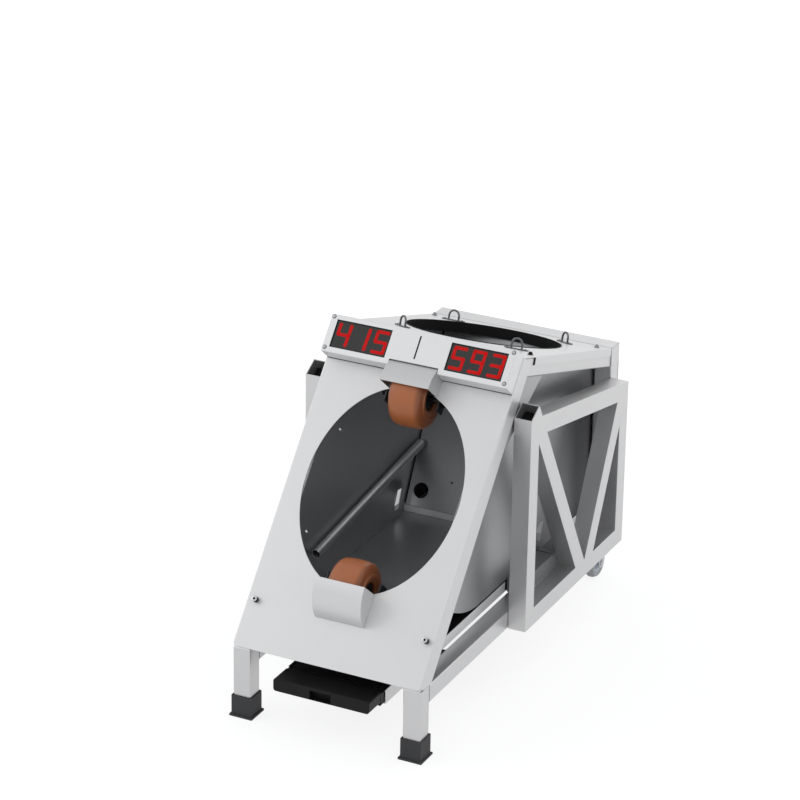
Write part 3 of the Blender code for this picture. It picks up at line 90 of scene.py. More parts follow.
@dataclass(frozen=True)
class Layout:
    """Sizes and reference planes that several sub-assemblies share."""

    tube: float = 0.030
    wall: float = 0.0015
    corner: float = 0.0025
    sheet: float = 0.0012
    gap: float = 0.0003
    half_width: float = 0.1605
    length: float = 0.714
    rail_bottom: float = 0.089
    rear_top: float = 0.427
    centre_y: float = 0.36525
    lean: float = radians(39.54)
    plate_length: float = 0.5367
    plate_foot: Point = (-0.0025, 0.1224)
    lower_wheel_s: float = 0.1265
    upper_wheel_s: float = 0.4465
    wheel_n: float = 0.013
    hood_radius: float = 0.0555
    hood_half: float = 0.0415
    channel_half: float = 0.1275
    floor_z: float = 0.1425

    @property
    def rail_top(self) -> float:
        """Top face of the base rails."""
        return self.rail_bottom + self.tube

    @property
    def rail_x(self) -> float:
        """Middle of the base rails and legs."""
        return self.half_width - self.tube / 2

    @property
    def skin(self) -> float:
        """Sheet and the air gap behind it."""
        return self.sheet + self.gap

    @property
    def post_x(self) -> float:
        """Middle of the leaning posts and top tubes."""
        return self.half_width - self.skin - self.tube / 2

    @property
    def truss_x(self) -> float:
        """Middle of the side trusses."""
        return self.half_width + self.gap + self.tube / 2

    @property
    def rear_front(self) -> float:
        """Front face of the rear frame."""
        return self.length - self.tube

    @property
    def up_plate(self) -> Vector:
        """Direction s, up the front plate."""
        return Vector((0, sin(self.lean), cos(self.lean)))

    @property
    def behind_plate(self) -> Vector:
        """Direction n, square into the machine from the front plate."""
        return Vector((0, cos(self.lean), -sin(self.lean)))

    @property
    def ridge(self) -> Vector:
        """Where the front plate and the lid meet, in the middle plane."""
        return self.on_plate(0, self.plate_length, 0)

    @property
    def lid_slope(self) -> float:
        """Fall of the lid towards the rear."""
        rear = self.at(0, self.rear_front - self.gap, self.rear_top + self.sheet)
        return atan2(self.ridge.z - rear.z, rear.y - self.ridge.y)

    @property
    def lid_length(self) -> float:
        """Lid length from the ridge to the rear frame."""
        return (self.at(0, self.rear_front - self.gap, 0).y - self.ridge.y) / cos(self.lid_slope)

    @property
    def down_lid(self) -> Vector:
        """Direction t, down the lid to the rear."""
        return Vector((0, cos(self.lid_slope), -sin(self.lid_slope)))

    @property
    def below_lid(self) -> Vector:
        """Direction m, square into the machine from the lid."""
        return Vector((0, -sin(self.lid_slope), -cos(self.lid_slope)))

    def at(self, x: float, y: float, z: float) -> Vector:
        """Point x across, y behind the front face of the legs and z above the floor."""
        return Vector((x, y - self.centre_y, z))

    def on_plate(self, x: float, s: float, n: float) -> Vector:
        """Point x across, s up the front plate and n behind its face."""
        return self.at(x, *self.plate_foot) + self.up_plate * s + self.behind_plate * n

    def on_lid(self, x: float, t: float, m: float) -> Vector:
        """Point x across, t down the lid from the ridge and m below its face."""
        return self.ridge + Vector((x, 0, 0)) + self.down_lid * t + self.below_lid * m

    def flat(self, points: Iterable[Vector]) -> list[Point]:
        """The points as (y, z) pairs of the side view."""
        return [(p.y + self.centre_y, p.z) for p in points]


L = Layout()
ACROSS = Vector((1, 0, 0))
REARWARD = Vector((0, 1, 0))
UPWARD = Vector((0, 0, 1))


def basis(origin: Vector, first: Vector, second: Vector) -> Matrix:
    """Placement whose X is first, Y is second and Z is square to both.

    Args:
        origin: Where the drawing's origin goes.
        first: Direction of the drawing's X.
        second: Direction of the drawing's Y.

    Returns:
        A 4 by 4 placement.
    """
    x = first.normalized()
    y = (second - x * second.dot(x)).normalized()
    return Matrix.Translation(origin) @ Matrix((x, y, x.cross(y))).transposed().to_4x4()


def side_view(x: float) -> Matrix:
    """Drawing of (y, z) outlines at x, its Z along the machine's X."""
    return basis(L.at(x, 0, 0), REARWARD, UPWARD)


def front_view(y: float) -> Matrix:
    """Drawing of (x, z) outlines at y, its Z towards the front."""
    return basis(L.at(0, y, 0), ACROSS, UPWARD)


def plate_view(n: float) -> Matrix:
    """Drawing of (x, s) outlines at depth n, its Z out of the plate."""
    return basis(L.on_plate(0, 0, n), ACROSS, L.up_plate)


def lid_view(m: float) -> Matrix:
    """Drawing of (x, t) outlines at depth m, its Z out of the lid."""
    return basis(L.on_lid(0, 0, m), ACROSS, L.down_lid)


def meet(first: Line, second: Line) -> Vector:
    """Where two lines of the side view cross.

    Args:
        first: Point and direction of one line.
        second: Point and direction of the other.

    Returns:
        The crossing, at the first line's X.
    """
    spot, way = first
    other, other_way = second
    gap = other - spot
    turn = way.y * other_way.z - way.z * other_way.y
    return spot + way * ((gap.y * other_way.z - gap.z * other_way.y) / turn)


def arc(centre: Point, radius: float, first: float, last: float, steps: int) -> list[Point]:
    """Points on an arc, both ends included.

    Args:
        centre: Middle of the arc.
        radius: Its radius.
        first: Start angle in radians.
        last: End angle in radians.
        steps: Number of chords.

    Returns:
        The points in order.
    """
    angles = [first + (last - first) * i / steps for i in range(steps + 1)]
    return [(centre[0] + radius * cos(a), centre[1] + radius * sin(a)) for a in angles]


def focus(piece: Optional[Piece]) -> None:
    """Deselects everything, then takes the piece in hand.

    Args:
        piece: The piece, or None.
    """
    if bpy.context.mode != "OBJECT":
        bpy.ops.object.mode_set(mode="OBJECT")
    bpy.ops.object.select_all(action="DESELECT")
    if piece is not None:
        piece.select_set(True)
        bpy.context.view_layer.objects.active = piece


def edit(piece: Piece, whole: bool = False, kind: str = "VERT") -> bmesh.types.BMesh:
    """Opens the piece in edit mode.

    Args:
        piece: The piece to shape.
        whole: True to select all of it, otherwise nothing is selected.
        kind: What is selected: VERT, EDGE or FACE.

    Returns:
        Its edit mesh, for selecting.
    """
    focus(piece)
    bpy.ops.object.mode_set(mode="EDIT")
    bpy.ops.mesh.select_mode(type=kind)
    bpy.ops.mesh.select_all(action="SELECT" if whole else "DESELECT")
    return bmesh.from_edit_mesh(piece.data)


def done() -> None:
    """Leaves edit mode."""
    bpy.ops.object.mode_set(mode="OBJECT")


def close_up() -> None:
    """Turns all the faces in hand outwards and leaves edit mode."""
    bpy.ops.mesh.select_all(action="SELECT")
    bpy.ops.mesh.normals_make_consistent(inside=False)
    done()


def extrude(step: Sequence[float]) -> None:
    """Extrudes what is in hand by a step."""
    bpy.ops.mesh.extrude_region_move(TRANSFORM_OT_translate={"value": step})


def label(piece: Piece, name: str) -> Piece:
    """Names a piece and its mesh."""
    piece.name = piece.data.name = name
    return piece


def settle(name: str) -> Piece:
    """Names the piece in hand and leaves its object at the origin."""
    bpy.ops.object.transform_apply(location=True, rotation=True, scale=True)
    return label(bpy.context.object, name)


def place(piece: Piece, placement: Matrix) -> Piece:
    """Puts a drawn piece in its place and leaves its object at the origin.

    Args:
        piece: The drawn piece.
        placement: Where its drawing goes.

    Returns:
        The piece.
    """
    focus(piece)
    piece.matrix_world = placement @ piece.matrix_world
    return settle(piece.name)


def block(name: str, low: Sequence[float], high: Sequence[float]) -> Piece:
    """Upright box between two corners of the drawing.

    Args:
        name: Its name.
        low: Its lowest corner.
        high: Its highest corner.

    Returns:
        The piece.
    """
    focus(None)
    middle = [(a + b) / 2 for a, b in zip(low, high)]
    bpy.ops.mesh.primitive_cube_add(size=1, location=middle)
    bpy.context.object.scale = [abs(b - a) for a, b in zip(low, high)]
    return settle(name)


def drum(name: str, radius: float, low: float, high: float, centre: Point = (0.0, 0.0),
        sides: int = 64) -> Piece:
    """Cylinder along the drawing's Z.

    Args:
        name: Its name.
        radius: Its radius.
        low: Where it starts along Z.
        high: Where it ends along Z.
        centre: Middle in the drawing's plane.
        sides: Number of flats round it.

    Returns:
        The piece.
    """
    focus(None)
    spot = (centre[0], centre[1], (low + high) / 2)
    bpy.ops.mesh.primitive_cylinder_add(vertices=sides, radius=radius, depth=high - low, location=spot)
    return settle(name)


def trace(name: str, points: Sequence[Point]) -> Piece:
    """Draws an open line of edges through points of the XY plane.

    Args:
        name: Its name.
        points: The points in order.

    Returns:
        The line, in edit mode, with its last point selected.
    """
    focus(None)
    bpy.ops.mesh.primitive_plane_add(size=0.01, location=(0, 0, 0))
    piece = bpy.context.object
    bpy.ops.object.mode_set(mode="EDIT")
    bpy.ops.mesh.select_mode(type="VERT")
    bpy.ops.mesh.select_all(action="SELECT")
    bpy.ops.mesh.merge(type="CENTER")
    bpy.ops.transform.translate(value=(points[0][0], points[0][1], 0))
    for before, after in zip(points, points[1:]):
        step = (after[0] - before[0], after[1] - before[1], 0)
        extrude(step)
    return label(piece, name)


def cutout(name: str, points: Sequence[Point], low: float, high: float) -> Piece:
    """Solid with a drawn outline, from low to high along Z.

    Args:
        name: Its name.
        points: Corners of the outline, not closed.
        low: Where it starts along Z.
        high: Where it ends along Z.

    Returns:
        The piece.
    """
    piece = trace(name, points)
    bpy.ops.mesh.select_all(action="SELECT")
    bpy.ops.mesh.edge_face_add()
    bpy.ops.transform.translate(value=(0, 0, low))
    extrude((0, 0, high - low))
    close_up()
    return piece


def turned(name: str, profile: Sequence[Point], steps: int = 64, closed: bool = False) -> Piece:
    """Turned piece from a profile of (radius, height) about Z.

    Args:
        name: Its name.
        profile: The profile's points.
        steps: Number of spin steps.
        closed: True for a ring whose profile closes on itself.

    Returns:
        The piece.
    """
    points = list(profile)
    if closed:
        points.append(points[0])
    piece = place(trace(name, points), Matrix.Rotation(QUARTER, 4, "X"))
    edit(piece, whole=True)
    bpy.ops.mesh.spin(steps=steps, angle=2 * pi, center=(0, 0, 0), axis=(0, 0, 1))
    bpy.ops.mesh.select_all(action="SELECT")
    bpy.ops.mesh.remove_doubles(threshold=0.000002)
    close_up()
    return piece


def bisect(piece: Piece, spot: Vector, normal: Vector) -> None:
    """Saws the piece off on the normal's side of a plane and closes it.

    Args:
        piece: The piece to shape.
        spot: A point of the plane.
        normal: The side that is lost.
    """
    edit(piece, whole=True)
    bpy.ops.mesh.bisect(plane_co=spot, plane_no=normal, use_fill=True, clear_outer=True)
    done()


def longer(axis: int, least: float) -> Test:
    """Test for edges that run more than least along an axis."""
    return lambda e: abs((e.verts[0].co - e.verts[1].co)[axis]) > least


def bevel_edges(piece: Piece, chosen: Test, width: float, segments: int = 2) -> None:
    """Bevels the chosen edges.

    Args:
        piece: The piece to shape.
        chosen: Test for an edge.
        width: Bevel width.
        segments: Bevel segments.
    """
    mesh = edit(piece, kind="EDGE")
    for edge in mesh.edges:
        edge.select_set(chosen(edge))
    bmesh.update_edit_mesh(piece.data)
    bpy.ops.mesh.bevel(offset=width, segments=segments, affect="EDGES", clamp_overlap=True)
    done()


def hollow_end(piece: Piece, way: Vector, wall: float, depth: float) -> None:
    """Insets the outermost face that looks along way and sinks it.

    Args:
        piece: A solid bar.
        way: The direction that the end looks.
        wall: Wall left round the hollow.
        depth: How deep the hollow goes.
    """
    mesh = edit(piece, kind="FACE")
    facing = [face for face in mesh.faces if face.normal.dot(way) > 0.999]
    max(facing, key=lambda face: face.calc_center_median().dot(way)).select_set(True)
    bmesh.update_edit_mesh(piece.data)
    bpy.ops.mesh.inset(thickness=wall, depth=0)
    extrude(-way * depth)
    done()


def apply(piece: Piece, kind: str, **settings: Any) -> None:
    """Adds one modifier and applies it.

    Args:
        piece: The piece to change.
        kind: The modifier's type.
        **settings: Its properties.
    """
    focus(piece)
    step = piece.modifiers.new(kind.lower(), kind)
    for key, value in settings.items():
        setattr(step, key, value)
    bpy.ops.object.modifier_apply(modifier=step.name)


def subtract(piece: Piece, *tools: Piece, operation: str = "DIFFERENCE") -> None:
    """Cuts the tools out of the piece, or joins them, and discards them.

    Args:
        piece: The piece to shape.
        *tools: What is cut out.
        operation: The kind of Boolean.
    """
    for tool in tools:
        apply(piece, "BOOLEAN", operation=operation, object=tool, solver="EXACT")
        bpy.data.objects.remove(tool)


def groove(piece: Piece, low: Vector, high: Vector, cut: tuple[float, float], depth: float) -> None:
    """Cuts a groove round a box.

    Args:
        piece: The box.
        low: Its lowest corner.
        high: Its highest corner.
        cut: Where the groove starts and ends along Y.
        depth: Its depth.
    """
    far, deep = Vector((0.01, 0, 0.01)), Vector((depth, 0, depth))
    span = Vector((0, cut[0], 0)), Vector((0, cut[1], 0))
    flat = Vector((1, 0, 1))
    ring = block("ring", (low - far) * flat + span[0], (high + far) * flat + span[1])
    along = Vector((0, 0.01, 0))
    core = block("core", (low + deep) * flat + span[0] - along, (high - deep) * flat + span[1] + along)
    subtract(ring, core)
    subtract(piece, ring)


def soften(piece: Piece, width: float = 0.0002, segments: int = 1, angle: float = 50) -> None:
    """Breaks the piece's sharp edges with a small bevel."""
    apply(piece, "BEVEL", width=width, segments=segments, limit_method="ANGLE", angle_limit=radians(angle),
        harden_normals=False)


def join(name: str, pieces: Sequence[Piece]) -> Piece:
    """Makes several pieces one object, without changing their shapes.

    Args:
        name: The whole's name.
        pieces: What it is made of.

    Returns:
        The whole.
    """
    focus(pieces[0])
    for piece in pieces:
        piece.select_set(True)
    bpy.ops.object.join()
    return label(bpy.context.object, name)


def copy(piece: Piece, name: str, placement: Matrix) -> Piece:
    """Copies a piece with a mesh of its own and places the copy.

    Args:
        piece: The piece.
        name: The copy's name.
        placement: Where it goes from there.

    Returns:
        The copy.
    """
    focus(piece)
    bpy.ops.object.duplicate(linked=False)
    return place(label(bpy.context.object, name), placement)


def mirror(piece: Piece, name: str) -> Piece:
    """Copy of a piece on the other side of the machine.

    Args:
        piece: The piece.
        name: The copy's name.

    Returns:
        The copy.
    """
    twin = copy(piece, name, Matrix.Diagonal((-1, 1, 1, 1)))
    edit(twin)
    close_up()
    return twin


def shade(piece: Piece, angle: float = 32) -> None:
    """Shades the piece smooth up to an angle in degrees.

    Args:
        piece: The piece.
        angle: The angle.
    """
    focus(piece)
    bpy.ops.object.shade_smooth_by_angle(angle=radians(angle))
    apply(piece, "WEIGHTED_NORMAL", mode="FACE_AREA", weight=50, keep_sharp=True)


def operator(operation: str, reflected: bool = False) -> Callable[["SocketMaths", Any], "SocketMaths"]:
    """A Python operator that adds one Math node.

    Args:
        operation: The node's operation.
        reflected: True where the socket stands on the right.

    Returns:
        The method for the operator.
    """
    def calculate(value: "SocketMaths", other: Any) -> "SocketMaths":
        """The two values, joined by the operator."""
        if reflected:
            return SocketMaths(value.tree, other)._math(operation, value)
        return value._math(operation, other)
    return calculate


class SocketMaths:
    """A shader value that takes part in Python arithmetic."""

    def __init__(self, tree: bpy.types.NodeTree, value: Any) -> None:
        """Wraps a socket or a number.

        Args:
            tree: The node tree that new maths nodes go to.
            value: An output socket or a plain number.
        """
        self.tree = tree
        self.value = value

    def _math(self, operation: str, *others: Any, clamp: bool = False) -> "SocketMaths":
        """Adds a Math node.

        Args:
            operation: Its operation.
            *others: The values after this one.
            clamp: True to keep the result between 0 and 1.

        Returns:
            The result.
        """
        node = self.tree.nodes.new("ShaderNodeMath")
        node.operation = operation
        node.use_clamp = clamp
        for slot, item in zip(node.inputs, (self, *others)):
            item = item.value if isinstance(item, SocketMaths) else item
            if isinstance(item, bpy.types.NodeSocket):
                self.tree.links.new(item, slot)
            else:
                slot.default_value = item
        return SocketMaths(self.tree, node.outputs[0])

    __add__, __radd__ = operator("ADD"), operator("ADD", True)
    __sub__, __rsub__ = operator("SUBTRACT"), operator("SUBTRACT", True)
    __mul__, __rmul__ = operator("MULTIPLY"), operator("MULTIPLY", True)
    __truediv__, __rtruediv__ = operator("DIVIDE"), operator("DIVIDE", True)
    __pow__, __rpow__ = operator("POWER"), operator("POWER", True)

    def size(self) -> "SocketMaths":
        """Absolute value."""
        return self._math("ABSOLUTE")

    def sine(self) -> "SocketMaths":
        """Its sine."""
        return self._math("SINE")

    def clamped(self) -> "SocketMaths":
        """Value kept between 0 and 1."""
        return self._math("ADD", 0.0, clamp=True)

    def most(self, other: Any) -> "SocketMaths":
        """Larger of two values."""
        return self._math("MAXIMUM", other)

    def step(self, edge: float, soft: float) -> "SocketMaths":
        """Rises from 0 to 1 across an edge.

        Args:
            edge: Value at which the result is one half.
            soft: Width of the rise.

        Returns:
            The soft step.
        """
        return ((self - edge) / soft + 0.5).clamped()


class NodeBench:
    """Adds nodes to one tree."""

    def __init__(self, tree: bpy.types.NodeTree) -> None:
        """Takes a tree in hand and empties it."""
        self.tree = tree
        tree.nodes.clear()

    def add(self, kind: str, settings: Optional[dict[str, Any]] = None,
            sockets: Optional[dict[Any, Any]] = None) -> bpy.types.Node:
        """Adds a node.

        Args:
            kind: The node's type.
            settings: Its properties by name.
            sockets: Values or links for its inputs, by name or number.

        Returns:
            The new node.
        """
        node = self.tree.nodes.new(kind)
        for key, value in (settings or {}).items():
            setattr(node, key, value)
        self.feed(node, sockets or {})
        return node

    def feed(self, node: bpy.types.Node, sockets: dict[Any, Any]) -> None:
        """Links or sets inputs of a node.

        Args:
            node: The node.
            sockets: Values or links, by the input's name or number.
        """
        for key, value in sockets.items():
            value = value.value if isinstance(value, SocketMaths) else value
            if isinstance(value, bpy.types.NodeSocket):
                self.tree.links.new(value, node.inputs[key])
            else:
                node.inputs[key].default_value = value

    def value(self, socket: Any) -> SocketMaths:
        """Wraps an output for arithmetic."""
        return SocketMaths(self.tree, socket)

    def seen(self) -> SocketMaths:
        """1 for what the camera sees, also in metal and through glass, otherwise 0.

        Returns:
            The mask.
        """
        rays = self.add("ShaderNodeLightPath").outputs
        camera, glossy, through = (self.value(rays[f"Is {kind} Ray"]) for kind in ("Camera", "Glossy",
            "Transmission"))
        return camera.most(glossy).most(through)


class MaterialBench(NodeBench):
    """One procedural material under construction."""

    def __init__(self, name: str) -> None:
        """Starts a material with a Principled shader.

        Args:
            name: The material's name.
        """
        self.material = bpy.data.materials.new(name)
        self.material.use_nodes = True
        super().__init__(self.material.node_tree)
        self.shader = self.add("ShaderNodeBsdfPrincipled")
        self.output = self.add("ShaderNodeOutputMaterial", sockets={"Surface": self.shader.outputs[0]})
        self.coords = self.add("ShaderNodeTexCoord").outputs["Object"]

    def look(self, sockets: dict[str, Any]) -> None:
        """Links or sets inputs of the Principled shader, by name."""
        self.feed(self.shader, sockets)

    def axes(self) -> tuple[SocketMaths, SocketMaths, SocketMaths]:
        """The point's X, Y and Z in the machine's frame."""
        split = self.add("ShaderNodeSeparateXYZ", sockets={0: self.coords})
        return tuple(self.value(out) for out in split.outputs)

    def stretched(self, scale: Sizes) -> bpy.types.NodeSocket:
        """The point's coordinates, stretched by scale."""
        return self.add("ShaderNodeVectorMath", {"operation": "MULTIPLY"},
            {0: self.coords, 1: scale}).outputs[0]

    def noise(self, scale: float, detail: float = 2.0, roughness: float = 0.5,
            coords: Any = None) -> SocketMaths:
        """Cloudy pattern between 0 and 1.

        Args:
            scale: Size of the clouds, per metre.
            detail: Number of finer layers.
            roughness: Strength of the finer layers.
            coords: Coordinates, or the object's own.

        Returns:
            The pattern.
        """
        return self.value(self.add("ShaderNodeTexNoise", sockets={"Vector": coords or self.coords,
            "Scale": scale, "Detail": detail, "Roughness": roughness}).outputs[0])

    def cells(self, scale: float) -> SocketMaths:
        """Distance to the nearest cell, for grains."""
        return self.value(self.add("ShaderNodeTexVoronoi", sockets={"Vector": self.coords,
            "Scale": scale}).outputs["Distance"])

    def mix(self, share: Any, first: Any, second: Any) -> bpy.types.NodeSocket:
        """Blends two colours.

        Args:
            share: 0 for the first colour, 1 for the second.
            first: A colour triple or a socket.
            second: A colour triple or a socket.

        Returns:
            The blended colour.
        """
        first, second = ((*c, 1.0) if isinstance(c, tuple) and len(c) == 3 else c for c in (first, second))
        return self.add("ShaderNodeMix", {"data_type": "RGBA"}, {0: share, 6: first, 7: second}).outputs[2]

    def relief(self, height: Any, distance: float, strength: float = 1.0) -> None:
        """Drives the shader's normal with a height pattern.

        Args:
            height: The pattern.
            distance: Depth of the relief in metres.
            strength: Share of the relief that is used.
        """
        bump = self.add("ShaderNodeBump", sockets={"Height": height, "Distance": distance,
            "Strength": strength})
        self.look({"Normal": bump.outputs[0]})


@dataclass(frozen=True)
class Finish:
    """A finish of the machine: its name, the record's slot, its middle colour and roughness."""

    name: str
    slot: str
    colour: Sizes
    roughness: float

    def shades(self, down: float, up: float) -> tuple[tuple[float, ...], tuple[float, ...]]:
        """A darker and a lighter shade of the colour."""
        return tuple(c * down for c in self.colour), tuple(min(c * up, 1.0) for c in self.colour)

    def mix(self, bench: MaterialBench) -> None:
        """Adds the finish's nodes; each kind of finish has its own way."""
        raise NotImplementedError


@dataclass(frozen=True)
class PowderCoat(Finish):
    """Baked paint with orange peel, faint flake, handling marks and a tone that darkens towards the floor."""

    metallic: float = 0.0
    peel: float = 0.00006
    flake: float = 0.035
    soot: float = 0.05

    def mix(self, bench: MaterialBench) -> None:
        """Makes the paint.

        Args:
            bench: The bench that its nodes go to.
        """
        dark, light = self.shades(1 - self.flake, 1 + self.flake)
        cloud = bench.noise(7.0, 3.0, 0.55)
        grain = bench.noise(1500.0, 1.0)
        smear = bench.noise(26.0, 4.0, 0.6, bench.stretched((1.0, 0.35, 1.0))).step(0.62, 0.22)
        # Darker along the smears and towards the bottom, below about 0.135 m above the floor.
        low = (0.135 - bench.axes()[2]).step(0.03, 0.11)
        tone = (cloud * 0.6 + grain * 0.4).clamped()
        coat = bench.mix(tone, dark, light)
        darker_tone = tuple(c * 0.82 for c in self.colour)
        bench.look({"Base Color": bench.mix((smear * 0.25 + low * 0.6) * self.soot * 4, coat, darker_tone),
            "Roughness": self.roughness + (cloud - 0.5) * 0.10 + smear * 0.05, "Metallic": self.metallic})
        peel = bench.noise(330.0, 2.0, 0.5) * 0.8 + grain * 0.2
        bench.relief(peel, self.peel)


@dataclass(frozen=True)
class Moulded(Finish):
    """Rubber or plastic with a moulded grain and scuffed edges."""

    grain_scale: float = 900.0
    grain_depth: float = 0.00008
    scuff: float = 0.6
    gloss: float = 0.5

    def mix(self, bench: MaterialBench) -> None:
        """Makes the moulded finish.

        Args:
            bench: The bench that its nodes go to.
        """
        dark, light = self.shades(0.8, 1.25)
        cloud = bench.noise(18.0, 3.0, 0.6)
        grains = bench.cells(self.grain_scale)
        scuffs = bench.noise(70.0, 5.0, 0.65, bench.stretched((0.4, 1.0, 1.6))).step(0.63, 0.12)
        base = bench.mix(cloud, dark, light)
        pale = tuple(min(c * 1.9 + 0.01, 1.0) for c in self.colour)
        bench.look({"Base Color": bench.mix(scuffs * self.scuff * 0.5, base, pale),
            "Roughness": self.roughness + (cloud - 0.5) * 0.12 + scuffs * 0.08,
            "Specular IOR Level": self.gloss})
        bench.relief(grains * 0.7 + cloud * 0.3, self.grain_depth)


@dataclass(frozen=True)
class PlatedSteel(Finish):
    """Zinc or chrome plate with drawn lines along one axis."""

    metallic: float = 1.0
    lines: Sizes = (60.0, 900.0, 900.0)
    line_depth: float = 0.00002

    def mix(self, bench: MaterialBench) -> None:
        """Makes the plated finish.

        Args:
            bench: The bench that its nodes go to.
        """
        dark, light = self.shades(0.82, 1.12)
        cloud = bench.noise(40.0, 4.0, 0.6)
        drawn = bench.noise(1.0, 2.0, 0.5, bench.stretched(self.lines))
        bench.look({"Base Color": bench.mix((cloud * 0.7 + drawn * 0.3).clamped(), dark, light),
            "Roughness": self.roughness + (drawn - 0.5) * 0.14 + (cloud - 0.5) * 0.1,
            "Metallic": self.metallic})
        bench.relief(drawn, self.line_depth)


@dataclass(frozen=True)
class CastUrethane(Finish):
    """Cast tyre: a waxy tread, darker shoulders and faint mould rings."""

    shoulder_x: float = 0.0195
    shoulder: Sizes = (0.13, 0.035, 0.010)

    def mix(self, bench: MaterialBench) -> None:
        """Makes the tyre's finish.

        Args:
            bench: The bench that its nodes go to.
        """
        dark, light = self.shades(0.86, 1.14)
        x = bench.axes()[0]
        cloud = bench.noise(30.0, 4.0, 0.6)
        rings = (x * 2600.0).sine() * 0.5 + 0.5
        side = x.size().step(self.shoulder_x + 0.002, 0.006)
        tread = bench.mix(cloud, dark, light)
        bench.look({"Base Color": bench.mix(side * 0.55, tread, self.shoulder),
            "Roughness": self.roughness + (cloud - 0.5) * 0.12 + rings * 0.03, "Coat Weight": 0.12,
            "Coat Roughness": 0.3})
        bench.relief(rings * 0.3 + bench.noise(500.0, 2.0) * 0.7, 0.00004)


@dataclass(frozen=True)
class LitSegment(Finish):
    """Glowing segment of a counter, its glow speckled with fine dots."""

    glow: float = 1.0

    def mix(self, bench: MaterialBench) -> None:
        """Makes the glowing finish.

        Args:
            bench: The bench that its nodes go to.
        """
        dark, light = self.shades(0.8, 1.2)
        dots = bench.noise(420.0, 1.0)
        glow = bench.mix(dots, dark, light)
        bench.look({"Base Color": bench.mix(dots, (0.10, 0.002, 0.002), (0.16, 0.004, 0.003)),
            "Emission Color": glow, "Emission Strength": self.glow, "Specular IOR Level": 0.1,
            "Roughness": self.roughness})


class Paint:
    """The machine's finishes."""

    frame = PowderCoat("frame_silver_paint", "silver_paint", (0.575, 0.575, 0.580), 0.36, metallic=0.85)
    panel = PowderCoat("panel_silver_paint", "panel_paint", (0.65, 0.65, 0.655), 0.42, metallic=0.60)
    channel = PowderCoat("channel_grey_paint", "channel_paint", (0.355, 0.36, 0.37), 0.34, metallic=0.75)
    pipe = PowderCoat("pipe_grey_paint", "zinc_steel", (0.40, 0.405, 0.415), 0.30, metallic=0.72)
    display = PowderCoat("display_silver_paint", "panel_paint", (0.73, 0.73, 0.735), 0.42, metallic=0.50)
    # Darker copy of the panel paint, for the upper hood: painted shade.
    hood = PowderCoat("hood_painted_shade_silver", "panel_paint", (0.55, 0.55, 0.555), 0.42, metallic=0.60)
    # Light copy of the channel paint, for the strip over the back wall's kick: painted highlight.
    kick = PowderCoat("fold_painted_highlight", "channel_paint", (0.92, 0.92, 0.93), 0.40, metallic=0.30)
    # Light copy of the silver paint, for the deck: painted light on its flange.
    deck = PowderCoat("deck_painted_light_silver", "silver_paint", (0.84, 0.84, 0.845), 0.42, metallic=0.35)
    # Dark copy of the silver paint, for the gussets: painted shade.
    gusset = PowderCoat("gusset_painted_shade_grey", "silver_paint", (0.36, 0.36, 0.37), 0.36, metallic=0.75)
    rubber = Moulded("foot_rubber", "black_rubber", (0.030, 0.030, 0.032), 0.72)
    plastic = Moulded("battery_plastic", "black_plastic", (0.010, 0.010, 0.011), 0.42, grain_scale=1400.0,
        grain_depth=0.00005, scuff=0.4, gloss=0.14)
    seat = Moulded("channel_seat_plastic", "black_plastic", (0.16, 0.162, 0.168), 0.5, scuff=0.2)
    # Black plastic for real trim, also used for strips that paint shade in gaps, corners, creases and recesses.
    black = Moulded("black_trim_and_painted_shade", "black_plastic", (0.006, 0.006, 0.0065), 0.55, scuff=0.2, gloss=0.12)
    zinc = PlatedSteel("zinc_plate", "zinc_steel", (0.50, 0.51, 0.53), 0.34)
    dull_steel = PlatedSteel("dull_steel", "zinc_steel", (0.26, 0.265, 0.275), 0.34)
    # Dark steel, darkened further to stand in for dark surroundings in its reflections: painted reflection.
    eye_steel = PlatedSteel("eye_wire_steel", "zinc_steel", (0.14, 0.143, 0.15), 0.24)
    axle_steel = PlatedSteel("dark_axle_steel", "zinc_steel", (0.045, 0.046, 0.050), 0.38)
    chrome = PlatedSteel("chrome_plate", "zinc_steel", (0.75, 0.76, 0.78), 0.14)
    black_steel = PlatedSteel("blackened_steel", "dark_steel", (0.030, 0.031, 0.034), 0.42, metallic=0.6)
    urethane = CastUrethane("orange_urethane", "orange_polyurethane", (0.40, 0.120, 0.036), 0.40)
    glass = Moulded("counter_window", "display_window", (0.006, 0.007, 0.006), 0.34, grain_scale=300.0,
        grain_depth=0.000002, scuff=0.05)
    lit = LitSegment("lit_segment", "display_window", (0.40, 0.005, 0.005), 0.5)
    tread = Moulded("caster_tread", "grey_rubber", (0.40, 0.41, 0.42), 0.55, scuff=0.3)
    hub = Moulded("caster_hub_plastic", "grey_rubber", (0.55, 0.59, 0.66), 0.42, scuff=0.2)


@cache
def material(finish: Finish) -> bpy.types.Material:
    """Material of a finish, made the first time that it is asked for.

    Args:
        finish: The finish.

    Returns:
        Its material.
    """
    bench = MaterialBench(finish.name)
    finish.mix(bench)
    return bench.material


